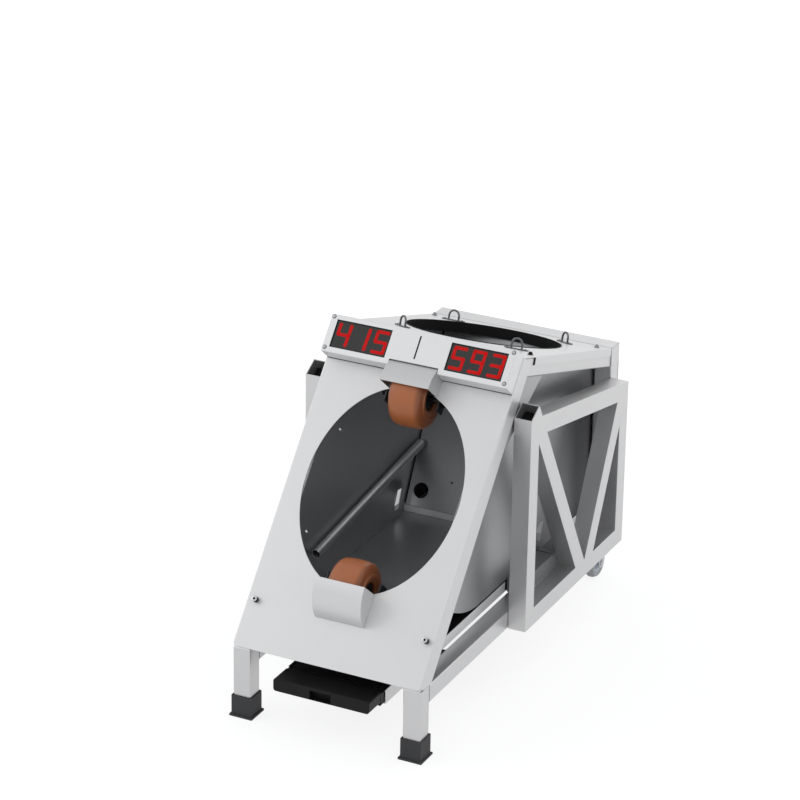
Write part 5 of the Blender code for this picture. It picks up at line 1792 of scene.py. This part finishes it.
@dataclass
class WheelHood(SubAssembly):
    """Curved sheet hood with two cheeks over half of a shooting wheel."""

    name: str = "lower_hood"
    wheel_s: float = L.lower_wheel_s
    turn: Turn = Turn.DOWN

    def outline(self, radius: float, face: float, past: float) -> list[Point]:
        """Half round (n, s) about the wheel's axis, closed along n = face.

        Args:
            radius: Its radius.
            face: Where it is closed.
            past: How far its ends run on past the axis.

        Returns:
            The corners.
        """
        first = acos((face - L.wheel_n) / radius)
        points = arc((L.wheel_n, 0), radius, first, pi, 40)
        points += [(L.wheel_n - radius, -past), (face, -past)] if past else [(face, 0.0)]
        return [(n, self.wheel_s + self.turn.value * s) for n, s in points]

    def build(self) -> None:
        """Builds the hood."""
        across = basis(L.on_plate(0, 0, 0), L.behind_plate, L.up_plate)
        hood = cutout(self.name + "_shell", self.outline(L.hood_radius, -L.gap, 0.0), -L.hood_half, L.hood_half)
        inside = L.hood_half - L.sheet
        hollow = cutout("hollow", self.outline(L.hood_radius - L.sheet, 0.005, 0.005), -inside, inside)
        subtract(hood, hollow)
        soften(hood, 0.0003, 2)
        place(hood, across)
        # The upper hood takes the darker copy of the panel paint: painted shade.
        finish = Paint.hood if self.turn is Turn.UP else Paint.panel
        self.dress(hood, finish, self.name, smooth=30)


@dataclass
class ShootingWheel(SubAssembly):
    """Tyre on a hub motor, with its fixed axle, nuts and bracket."""

    name: str = "lower"
    wheel_s: float = L.lower_wheel_s
    turn: Turn = Turn.DOWN
    radius: float = 0.050
    half: float = 0.030
    tread: float = 0.0195
    lip: float = 0.032
    bore: float = 0.0195
    hub_half: float = 0.0235
    axle: float = 0.005
    bracket: Sizes = (0.0435, 0.003, 0.003, 0.022)
    past_axle: float = 0.019
    nut: Sizes = (0.0092, 0.007)
    cross_s: float = 0.0353

    @property
    def centre(self) -> Vector:
        """Middle of the wheel."""
        return L.on_plate(0, self.wheel_s, L.wheel_n)

    def across(self) -> Matrix:
        """Placement whose Z runs along the axle."""
        return basis(self.centre, L.behind_plate, L.up_plate)

    def build(self) -> None:
        """Builds the wheel and what carries it."""
        self.tyre()
        self.hub()
        self.axle_rod()
        self.bracket_plates()

    def tyre(self) -> None:
        """Crowned tread, round shoulders and a raised lip at each side."""
        r, half = self.radius, self.half
        tread, drop = self.tread - 0.0025, 0.0105
        right = [(r, 0.0), (r - 0.0003, tread * 0.6), (r - 0.0010, tread)]
        right += [(r - 0.0010 - drop * (1 - cos(a)), tread + (half - 0.0028 - tread) * sin(a))
            for a in (radians(d) for d in (12, 24, 36, 48, 60, 70, 80, 90))]
        right += [(r - 0.0135, half - 0.0022), (self.lip + 0.0015, half - 0.0020),
            (self.lip + 0.0005, half - 0.0014), (self.lip, half - 0.0005), (self.lip - 0.0006, half - 0.0001),
            (self.lip - 0.0014, half), (self.lip - 0.0042, half), (self.lip - 0.0050, half - 0.0002),
            (self.lip - 0.0058, half - 0.0009), (self.bore + 0.0012, half - 0.0032),
            (self.bore + 0.0003, half - 0.0038), (self.bore, half - 0.0048)]
        profile = right + [(a, -b) for a, b in right[::-1][:-1]]
        tyre = turned(self.name + "_urethane_tyre", profile, 96, closed=True)
        self.dress(tyre, Paint.urethane, self.name + "_tyre", smooth=35, body=self.name + "_wheel",
            view=self.across())

    def hub(self) -> None:
        """Round motor case with bearing seats and six cover screws."""
        r, half, inner = self.bore - L.gap, self.hub_half, self.axle + L.gap
        profile = [(inner, half), (inner + 0.0035, half), (inner + 0.0035, half - 0.0010),
            (inner + 0.0062, half - 0.0010), (inner + 0.0062, half), (r - 0.0008, half), (r, half - 0.0008)]
        profile += [(a, -b) for a, b in profile[::-1]]
        hub = turned(self.name + "_motor_case", profile, 64, closed=True)
        screws = []
        for side in Side:
            for i in range(6):
                turn = tau * i / 6
                spot = ((inner + 0.0103) * cos(turn), (inner + 0.0103) * sin(turn))
                screws.append(drum("cover_screw", 0.0014, *side.span(half - 0.0002, half + 0.0009), spot, 16))
        hub = join(self.name + "_motor_case", [hub, *screws])
        self.dress(hub, Paint.black_steel, self.name + "_hub_motor", body=self.name + "_wheel",
            view=self.across())

    def axle_rod(self) -> None:
        """Axle with a hexagon nut outside each bracket plate."""
        out = self.bracket[0] + self.bracket[1] + L.gap
        r, long = self.nut
        rod = drum(self.name + "_axle_rod", self.axle, -out - long + 0.0004, out + long - 0.0004, sides=40)
        soften(rod, 0.0006, 2, 40)
        parts = [rod]
        for side in Side:
            low, high = side.span(out, out + long)
            nut = drum("hexagon_nut", r, low, high, sides=6)
            crown = drum("crown", r * 1.01, low - 0.001, high + 0.001, sides=48)
            soften(crown, 0.0018, 3, 40)
            subtract(nut, crown, operation="INTERSECT")
            parts.append(nut)
        axle = join(self.name + "_axle_rod", parts)
        self.dress(axle, Paint.axle_steel, self.name + "_axle", view=self.across())

    def bracket_plates(self) -> None:
        """U bracket bent from one strip and bolted to its cross tube."""
        x, thick, n0, width = self.bracket
        way = self.turn.value
        out = x + thick
        tip = self.wheel_s - way * self.past_axle
        base = self.cross_s
        bend = 0.004
        corners = arc((out - bend, base - way * bend), bend, way * QUARTER, 0.0, 5)
        inner = arc((out - bend, base - way * bend), bend - thick, 0.0, way * QUARTER, 5)
        right = corners + [(out, tip), (x, tip)] + inner
        outline = right + [(-a, s) for a, s in right[::-1]]
        plates = cutout(self.name + "_bracket_strip", outline, -n0 - width, -n0)
        place(plates, plate_view(0))
        hole = place(drum("drill", self.axle + L.gap, -0.06, 0.06, sides=40), self.across())
        subtract(plates, hole)
        soften(plates, 0.0004, 2)
        self.dress(plates, Paint.black_steel, self.name + "_bracket")


@dataclass
class NetEyes(SubAssembly):
    """Bent wire eyes on small plates, where the net's clips hook in."""

    spots: Sequence[tuple[str, float, float, bool]] = (("front_left", -0.091, 0.0903, True),
        ("front_right", 0.107, 0.0913, False), ("rear_left", -0.102, 0.3103, False),
        ("rear_right", 0.098, 0.3095, True))
    radius: float = 0.0089
    rod: float = 0.0017
    leg: float = 0.0065
    turn: float = radians(38)
    plate: Sizes = (0.040, 0.010, 0.0015)

    def build(self) -> None:
        """Builds the four eyes."""
        for word, x, t, askew in self.spots:
            self.eye(L.on_lid(x, t, -L.gap), self.turn if askew else 0.0, word)

    def eye(self, spot: Vector, turn: float, word: str) -> None:
        """One eye, upright on the lid.

        Args:
            spot: Foot of the eye.
            turn: How far it is turned about the lid's normal.
            word: Which eye it is.
        """
        across = ACROSS * cos(turn) - L.down_lid * sin(turn)
        along = L.down_lid * cos(turn) + ACROSS * sin(turn)
        out = -L.below_lid
        wide, deep, thick = self.plate
        base = block("eye_plate", (-wide / 2, -deep / 2, 0), (wide / 2, deep / 2, thick))
        bevel_edges(base, longer(2, thick / 2), 0.003, 5)
        soften(base, 0.0003, 2, 40)
        parts = [base]
        for way in (-1, 1):
            rivet = turned("rivet", [(0, 0.0009), (0.0012, 0.0008), (0.0021, 0.0004), (0.0024, 0), (0, 0)], 20)
            parts.append(place(rivet, Matrix.Translation((way * 0.0155, 0, thick))))
        parts = [join("eye_plate", parts)]
        place(parts[0], basis(spot, across, along))
        loop = [(-self.radius, 0.0)] + [(a, b + self.leg) for a, b in arc((0, 0), self.radius, pi, 0, 28)]
        loop += [(self.radius, 0.0)]
        foot = spot + out * thick * 0.6
        parts.append(wire("eye_wire", [foot + across * a + out * b for a, b in loop], self.rod, sides=16))
        eye = join("net_hook_eye_" + word, parts)
        # The wire's colour carries a painted dark reflection.
        self.dress(eye, Paint.eye_steel, "net_eye_" + word, smooth=40)


@dataclass
class BatteryPack(SubAssembly):
    """Battery on its slide, with a capped front, and the tray that holds it."""

    recess: Sizes = (-0.019, 0.017, 0.012, 0.005, 0.0015)
    cap_corner: float = 0.0048
    lip: float = 0.012
    top_from: float = 0.100

    def build(self) -> None:
        """Builds the battery and its tray."""
        self.cap()
        self.case()
        self.tray()

    def cap(self) -> None:
        """Rounded end cap with the finger recess."""
        low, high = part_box("battery_cap")
        cap = block("battery_end_cap", low, high)
        bevel_edges(cap, longer(1, 0.03), self.cap_corner, 6)
        soften(cap, 0.0016, 4, 40)
        x0, x1, deep, lid, sill = self.recess
        pocket = block("pocket", (x0, low.y - 0.01, low.z + sill), (x1, low.y + deep, high.z - lid))
        bevel_edges(pocket, lambda e: all(v.co.y > low.y + deep - 1e-5 for v in e.verts), 0.001, 3)
        subtract(cap, pocket)
        soften(cap, 0.0005, 2)
        self.dress(cap, Paint.plastic, "battery_cap", body="battery")

    def case(self) -> None:
        """Body of the battery, with a shallow step behind the cap."""
        low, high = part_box("battery_body")
        case = block("battery_case", low, high)
        bevel_edges(case, longer(1, 0.1), 0.002, 3)
        groove(case, low, high, (low.y + 0.010, low.y + 0.0125), 0.001)
        soften(case, 0.0003, 1)
        self.dress(case, Paint.plastic, "battery_body", body="battery")

    def tray(self) -> None:
        """Sheet tray that hangs from the rails and hooks under the battery."""
        low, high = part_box("battery_tray")
        box_low, box_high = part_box("battery_body")
        rail, inner, wall = high.x, box_high.x + L.gap, L.sheet
        out, top, under = inner + wall, box_high.z + L.gap, box_low.z - L.gap - wall
        right = [(rail - wall, high.z), (rail, high.z), (rail, top), (out, top), (out, under),
            (out - self.lip, under), (out - self.lip, under + wall), (inner, under + wall), (inner, top)]
        outline = right + [(-a, b) for a, b in right[::-1]]
        outline += [(wall - rail, top + wall), (rail - wall, top + wall)]
        tray = cutout("hanging_tray", outline, 0, high.y - low.y)
        place(tray, basis(Vector((0, high.y, 0)), ACROSS, UPWARD))
        front = L.at(0, self.top_from, 0).y
        subtract(tray, block("saw_front", (-rail - 0.01, low.y - 0.01, top),
            (rail + 0.01, front, high.z + 0.01)))
        soften(tray)
        self.dress(tray, Paint.frame, "battery_tray")


@dataclass
class BallFeeder(SubAssembly):
    """Gear housing under the floor and the arm that nudges the ball on."""

    pivot: Sizes = (0.390, 0.1320)
    arm: Sizes = (0.100, 0.0055, 0.006)
    slot: Sizes = (0.0085, 0.374, 0.498, 0.006)

    def build(self) -> None:
        """Builds the housing and the arm."""
        low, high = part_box("feeder_housing")
        case = block("feeder_case", low, high)
        bevel_edges(case, lambda e: min(v.co.z for v in e.verts) < high.z - 0.01, 0.002, 3)
        x, y0, y1, wall = self.slot
        subtract(case, block("pocket", L.at(-x, y0, low.z + wall), L.at(x, y1, high.z + 0.01)))
        soften(case, 0.0003, 1)
        self.dress(case, Paint.plastic, "feeder_housing")

        length, tall, wide = self.arm
        y, z = self.pivot
        outline = arc((y, z), tall, QUARTER, pi * 1.5, 20)
        outline += arc((y + length - tall, z), tall, -QUARTER, QUARTER, 20)
        lever = cutout("feeder_lever", outline, -wide, wide)
        soften(lever, 0.0006, 2)
        pin = drum("pin", 0.003, -x + L.gap, x - L.gap, (y, z), 32)
        lever = join("feeder_lever", [lever, pin])
        self.dress(lever, Paint.zinc, "feeder_arm", body="feeder", view=side_view(0))


@dataclass
class Caster(SubAssembly):
    """Swivelling caster with a brake pedal under one rear corner."""

    side: Side = Side.LEFT
    inset: float = 0.012
    swivel_y: float = 0.682
    trail: float = 0.029
    radius: float = 0.027
    half: float = 0.0095
    plate: Sizes = (0.044, 0.062, 0.003)
    race: float = 0.019
    fork_gap: float = 0.0115
    fork_wall: float = 0.0025
    crown_gap: float = 0.006
    axle: float = 0.004
    pedal: Sizes = (0.014, 0.036, 0.005)

    @property
    def word(self) -> str:
        """Name of this caster's nodes."""
        return "caster_" + self.side.word

    @property
    def x(self) -> float:
        """Middle of the caster across the machine."""
        return self.side.value * (L.rail_x - self.inset)

    @property
    def crown_top(self) -> float:
        """Top of the fork's crown."""
        return self.radius * 2 + self.crown_gap + self.fork_wall

    def build(self) -> None:
        """Builds the caster."""
        self.top_plate()
        self.fork()
        self.wheel()
        self.brake()

    def top_plate(self) -> None:
        """Fixed plate with four bolts, over the ball race."""
        wide, long, thick = self.plate
        top = L.rail_bottom - L.gap
        y = self.swivel_y
        plate = block("caster_top_plate", L.at(self.x - wide / 2, y - long / 2, top - thick),
            L.at(self.x + wide / 2, y + long / 2, top))
        bevel_edges(plate, longer(2, thick / 2), 0.004, 5)
        soften(plate, 0.0004, 2, 40)
        low, race = self.crown_top + L.gap, self.race
        neck, shelf = race * 0.6, top - thick
        profile = [(0, low), (race - 0.003, low), (race - 0.0008, low + 0.0012), (race, low + 0.003),
            (race, low + 0.008), (neck + 0.0015, low + 0.010), (neck, low + 0.0115), (neck, shelf - 0.004),
            (race - 0.0005, shelf - 0.0025), (race + 0.0012, shelf), (0, shelf)]
        ring = place(turned("ball_race", profile, 48), Matrix.Translation(L.at(self.x, y, 0)))
        bolts = []
        for across in (-1, 1):
            for along in (-1, 1):
                spot = L.at(self.x + across * (wide / 2 - 0.007), y + along * (long / 2 - 0.008), 0)
                bolt = drum("plate_bolt", 0.0042, top - thick - 0.0026, top - thick, (spot.x, spot.y), 6)
                soften(bolt, 0.0004, 2, 40)
                bolts.append(bolt)
        made = join(self.word + "_top_plate", [plate, ring, *bolts])
        self.dress(made, Paint.zinc, self.word + "_plate", body="frame")

    def fork(self) -> None:
        """Pressed fork with rounded arms, and the wheel's axle bolt."""
        gap, out = self.fork_gap, self.fork_gap + self.fork_wall
        top, low = self.crown_top, self.crown_top - self.fork_wall
        axle_y, ear = self.swivel_y + self.trail, 0.010
        front, back = self.swivel_y - self.race, axle_y + self.pedal[0] + self.pedal[2]
        bend = 0.0035
        section = [(out, 0.02), (gap, 0.02)]
        section += arc((gap - bend + self.fork_wall, low - bend + self.fork_wall), bend - self.fork_wall, 0,
            QUARTER, 4)
        section += [(-a, b) for a, b in section[::-1]]
        shoulder = arc((out - bend, top - bend), bend, 0, QUARTER, 6)
        section += [(-a, b) for a, b in shoulder] + shoulder[::-1]
        shell = cutout("fork_shell", section, 0, back - front)
        place(shell, basis(L.at(self.x, back, 0), ACROSS, UPWARD))
        bottom = arc((axle_y, self.radius), ear, radians(200), radians(380), 24)
        outline = [(front - 0.001, top + 0.01), (front - 0.001, low - 0.001),
            (axle_y - ear * 1.6, low - 0.003)] + bottom
        outline += [(back + 0.001, low - self.pedal[2] * 2), (back + 0.001, top + 0.01)]
        saw = place(cutout("fork_trim", outline, -0.03, 0.03), side_view(self.x))
        subtract(shell, saw, operation="INTERSECT")
        soften(shell, 0.0005, 2)
        across = basis(L.at(self.x, axle_y, self.radius), REARWARD, UPWARD)
        far = out + 0.002
        bolt = drum("axle_bolt", self.axle, -far, far, sides=32)
        soften(bolt, 0.0005, 2, 40)
        heads = [drum("axle_nut", 0.0062, *side.span(out, out + 0.0016), sides=6) for side in Side]
        bolt = place(join("axle_bolt", [bolt, *heads]), across)
        made = join(self.word + "_pressed_fork", [shell, bolt])
        self.dress(made, Paint.zinc, self.word + "_fork", body=self.word + "_swivel")

    def wheel(self) -> None:
        """Grey tread on a pale hub with a raised boss and ribs."""
        r, half, bore = self.radius, self.half, self.axle + L.gap
        seat = r - 0.010
        tread = [(seat, 0), (seat, half - 0.003), (r - 0.007, half), (r - 0.0055, half)]
        tread += arc((r - 0.0055, half - 0.0035), 0.0035, QUARTER, radians(25), 6)
        tread += [(r, half - 0.0065), (r, 0)]
        ring = tread[1:-1] + [(a, -b) for a, b in tread[1:-1][::-1]]
        across = basis(L.at(self.x, self.swivel_y + self.trail, r), REARWARD, UPWARD)
        tyre = place(turned(self.word + "_tread", ring, 64, closed=True), across)
        hub = [(bore, half), (0.0085, half), (0.0092, half - 0.0008), (0.0098, half - 0.0045),
            (seat - 0.0045, half - 0.0052), (seat - 0.0032, half - 0.0026), (seat - 0.0002, half - 0.0024)]
        ring = hub + [(a, -b) for a, b in hub[::-1]]
        core = turned(self.word + "_hub", ring, 64, closed=True)
        ribs = []
        for i in range(6):
            rib = block("rib", (0.0090, -0.0008, -half + 0.0030), (seat - 0.003, 0.0008, half - 0.0030))
            ribs.append(place(rib, Matrix.Rotation(tau * i / 6, 4, "Z")))
        core = place(join(self.word + "_hub", [core, *ribs]), across)
        roller = self.word + "_roller"
        self.dress(tyre, Paint.tread, self.word + "_wheel", body=roller)
        self.dress(core, Paint.hub, body=roller)

    def brake(self) -> None:
        """Bright pedal on its pivot behind the wheel."""
        back, reach, ear = self.pedal
        y = self.swivel_y + self.trail + back
        z = self.crown_top - self.fork_wall - ear + 0.001
        tip = self.swivel_y + self.trail + reach
        outline = arc((y, z), 0.003, QUARTER, pi * 1.5, 12)
        outline += [(tip - 0.009, z - 0.0108), (tip - 0.002, z - 0.0104)]
        outline += arc((tip - 0.0013, z - 0.00875), 0.0013, -QUARTER, QUARTER, 6)
        outline += [(tip - 0.009, z - 0.0078), (y + 0.004, z + 0.003)]
        half = self.fork_gap - L.gap
        pedal = place(cutout(self.word + "_pedal_lever", outline, -half, half), side_view(self.x))
        soften(pedal, 0.0008, 3, 40)
        self.dress(pedal, Paint.chrome, self.word + "_brake", body=self.word + "_pedal")


@dataclass(frozen=True)
class ScrewHead:
    """Button head screw: its radius and height, the radius of its hexagon socket and of its
    washer, if it has one, and the socket's depth as a share of the height."""

    radius: float
    rise: float
    socket: float
    washer: float = 0.0
    sunk: float = 0.65


@dataclass
class Fasteners(SubAssembly):
    """Screws, gusset plates and small trim that show on the sheets."""

    plate_bolt: ScrewHead = ScrewHead(0.0046, 0.0076, 0.0022)
    # Thin bright zinc disc on the face of each plate bolt: painted highlight.
    lit_bolt_face: ScrewHead = ScrewHead(0.0046, 0.0006, 0.0021, sunk=1.5)
    lid_bolt: ScrewHead = ScrewHead(0.0034, 0.0040, 0.0017, 0.0050)
    display_screw: ScrewHead = ScrewHead(0.0025, 0.0014, 0.0010)
    screw_seal: ScrewHead = ScrewHead(0.0034, 0.0003, 0.0008)
    plate_spots: Sequence[Point] = ((-0.1455, 0.0764), (0.1455, 0.0764))
    lid_spots: Sequence[Point] = ((0.146, 0.0558), (-0.146, 0.3308), (0.146, 0.3308))
    display_spots: Sequence[Point] = ((-0.1538, 0.4825), (0.1538, 0.4825), (-0.1538, 0.5334), (0.1538, 0.5334))
    gusset: Sizes = (0.1575, 0.1587, 0.130, 0.065)
    divider_line: Sizes = (-0.002, 0.0012, 0.492, 0.530)
    flange_plug: float = 0.0456

    def build(self) -> None:
        """Builds the small parts."""
        # The plate bolts are dark steel capped by a thin bright zinc disc, a painted highlight on their faces.
        rows = (("plate_bolt", self.plate_bolt, self.plate_spots, plate_view(0), Paint.axle_steel),
            ("lit_bolt_face", self.lit_bolt_face, self.plate_spots, plate_view(-self.plate_bolt.rise), Paint.zinc),
            ("front_lid_bolt", self.lid_bolt, self.lid_spots[:1], lid_view(0), Paint.black),
            ("lid_bolt", self.lid_bolt, self.lid_spots[1:], lid_view(0), Paint.dull_steel),
            ("screw_seal", self.screw_seal, self.display_spots, plate_view(-0.030), Paint.black),
            ("display_screw", self.display_screw, self.display_spots, plate_view(-0.0303), Paint.zinc))
        for row in rows:
            self.row(*row)
        self.gussets()
        self.divider()

    def head(self, name: str, size: ScrewHead) -> Piece:
        """One screw, standing on the drawing's plane.

        Args:
            name: Name of the screw.
            size: Its sizes.

        Returns:
            The screw.
        """
        lift = 0.0007 if size.washer else 0.0
        r, top = size.radius, lift + size.rise
        dome = [(0, lift), (r, lift), (r, lift + size.rise * 0.35), (r * 0.93, lift + size.rise * 0.62),
            (r * 0.78, lift + size.rise * 0.85), (r * 0.58, top), (0, top)]
        screw = turned(name, dome, 32)
        socket = drum("socket", size.socket, top - size.rise * size.sunk, top + 0.001, sides=6)
        subtract(screw, socket)
        parts = [screw]
        if size.washer:
            ring = [(r * 0.5, 0), (size.washer - 0.0002, 0), (size.washer, 0.0002),
                (size.washer, lift - 0.0002), (size.washer - 0.0002, lift), (r * 0.5, lift)]
            parts.append(turned("washer", ring, 32, closed=True))
        return join(name, parts)

    def row(self, name: str, size: ScrewHead, spots: Sequence[Point], face: Matrix, finish: Finish) -> None:
        """Copies one screw to each of its places on a face.

        Args:
            name: Name of the screws.
            size: Their sizes.
            spots: Their places.
            face: The face's drawing.
            finish: Their finish.
        """
        first = self.head(name, size)
        for number, (a, b) in enumerate(spots):
            turn = Matrix.Rotation(0.7 * number + 0.3, 4, "Z")
            made = copy(first, f"{name}_{number + 1}", face @ Matrix.Translation((a, b, 0)) @ turn)
            self.dress(made, finish)
        bpy.data.objects.remove(first)

    def gussets(self) -> None:
        """Triangular plates in the corners of the posts and top tubes."""
        x0, x1, down, back = self.gusset
        deep = L.skin + L.tube
        corner = meet((L.on_plate(0, 0, deep), L.up_plate), (L.on_lid(0, 0, deep), L.down_lid))
        outline = L.flat([corner, corner - L.up_plate * down, corner + L.down_lid * back])
        plate = place(cutout("gusset_right", outline, x0, x1), side_view(0))
        soften(plate)
        # The gussets take the dark copy of the silver paint: painted shade.
        self.dress_pair(plate, Paint.gusset)

    def divider(self) -> None:
        """Dark line between the two halves of the display."""
        x, half, low, high = self.divider_line
        line = block("display_divider", (x - half, low, 0.030), (x + half, high, 0.0302))
        self.dress(line, Paint.black, view=plate_view(0))
        edge, t, deep = L.half_width, self.flange_plug, 0.0135
        for side in Side:
            xs = side.span(edge - 0.0016, edge - 0.0001)
            plug = block("flange_plug_" + side.word, (xs[0], t - 0.0036, -deep), (xs[1], t, -0.0012))
            place(plug, lid_view(0))
            soften(plug, 0.0002, 1, 40)
            self.dress(plug, Paint.black)


@dataclass(frozen=True)
class SoftBox:
    """Square soft lamp: where it stands, what it points at, its side and its watts."""

    name: str
    spot: Sizes
    aim: Sizes
    size: float
    power: float


@dataclass
class Studio:
    """Pale floor, soft lamps and the camera."""

    lamps: Sequence[SoftBox] = (SoftBox("key_lamp", (-3.21, -1.85, 2.22), (0.0, 0.0, 0.25), 2.0, 23.0),
        SoftBox("side_lamp", (3.42, 2.40, 0.69), (0.0, 0.0, 0.25), 2.0, 10.0),
        SoftBox("rear_lamp", (0.0, 3.71, 2.22), (0.0, 0.0, 0.25), 2.0, 12.0))
    sky: float = 0.75
    veil: float = 0.72
    glow: float = 1.175
    camera_spot: Sizes = (2.0759, -4.30395, 2.4707)
    azimuth: float = radians(26.43)
    elevation: float = radians(23.20)
    roll: float = radians(0.89)
    lens: float = 149.63

    def build(self) -> None:
        """Builds the studio round the machine."""
        self.floor()
        self.world()
        for lamp in self.lamps:
            self.lamp(lamp)
        self.camera()
        bpy.context.scene.view_settings.view_transform = "Standard"

    def floor(self) -> None:
        """Pale floor that keeps the machine's shadow and fades to white."""
        focus(None)
        bpy.ops.mesh.primitive_circle_add(vertices=96, radius=6.0, fill_type="NGON", location=(0, 0, 0))
        floor = label(bpy.context.object, "studio_floor")
        bench = MaterialBench("pale_floor")
        x, y, _ = bench.axes()
        away = (x * x + y * y) ** 0.5
        cloud = bench.noise(3.0, 2.0)
        fade = away.step(1.3, 1.6)
        seen = bench.seen()
        bench.look({"Base Color": bench.mix(cloud, (0.78, 0.78, 0.785), (0.80, 0.80, 0.80)),
            "Roughness": 0.9 + (cloud - 0.5) * 0.05, "Specular IOR Level": 0.0})
        white = bench.add("ShaderNodeEmission", sockets={"Color": (1.0, 1.0, 1.0, 1.0), "Strength": self.glow})
        blend = bench.add("ShaderNodeMixShader", sockets={0: (fade * (1 - self.veil) + self.veil) * seen,
            1: bench.shader.outputs[0], 2: white.outputs[0]})
        bench.feed(bench.output, {"Surface": blend.outputs[0]})
        floor.data.materials.append(bench.material)

    def world(self) -> None:
        """White to the camera and a soft grey sky to the machine."""
        world = bpy.data.worlds.new("studio_world")
        bpy.context.scene.world = world
        world.use_nodes = True
        bench = NodeBench(world.node_tree)
        plain = bench.add("ShaderNodeBackground", sockets={0: (0.96, 0.98, 1.0, 1.0), 1: self.sky})
        white = bench.add("ShaderNodeBackground", sockets={0: (1.0, 1.0, 1.0, 1.0), 1: 1.0})
        mix = bench.add("ShaderNodeMixShader", sockets={0: bench.seen(), 1: plain.outputs[0],
            2: white.outputs[0]})
        bench.add("ShaderNodeOutputWorld", sockets={0: mix.outputs[0]})

    def lamp(self, box: SoftBox) -> None:
        """Sets up one soft lamp.

        Args:
            box: The lamp.
        """
        focus(None)
        bpy.ops.object.light_add(type="AREA", location=box.spot)
        lamp = bpy.context.object
        lamp.name, lamp.data.shape, lamp.data.size, lamp.data.energy = box.name, "SQUARE", box.size, box.power
        way = Vector(box.aim) - Vector(box.spot)
        lamp.rotation_euler = way.to_track_quat("-Z", "Y").to_euler()

    def camera(self) -> None:
        """Sets up the camera at the picture's angle."""
        az, el, roll = self.azimuth, self.elevation, self.roll
        ahead = Vector((-sin(az) * cos(el), cos(az) * cos(el), -sin(el)))
        right = Vector((cos(az), sin(az), 0))
        up = right.cross(ahead)
        tilted = right * cos(roll) + up * sin(roll)
        over = up * cos(roll) - right * sin(roll)
        focus(None)
        bpy.ops.object.camera_add(location=(0, 0, 0))
        camera = bpy.context.object
        camera.name = "picture_camera"
        camera.matrix_world = basis(Vector(self.camera_spot), tilted, over)
        camera.data.lens = self.lens
        camera.data.sensor_width = 36.0
        camera.data.clip_end = 50.0
        bpy.context.scene.camera = camera


def main() -> None:
    """Builds the machine and its studio."""
    logging.basicConfig(level=logging.INFO, format="%(name)s: %(message)s")
    parts: list[SubAssembly] = [BaseFrame(), RubberFeet(), SideTruss(), FrontPlate(), TopPlate(), BallChannel(),
        GuidePipes(), DeckAndMounts(), RearPanel(), ScoreDisplay(), WheelHood(),
        WheelHood(name="upper_hood", wheel_s=L.upper_wheel_s, turn=Turn.UP), ShootingWheel(),
        ShootingWheel(name="upper", wheel_s=L.upper_wheel_s, turn=Turn.UP, cross_s=0.5027), NetEyes(),
        BatteryPack(), BallFeeder(), Caster(), Caster(side=Side.RIGHT), Fasteners()]
    for part in parts:
        part.build()
    Studio().build()


if __name__ == "__main__":
    main()
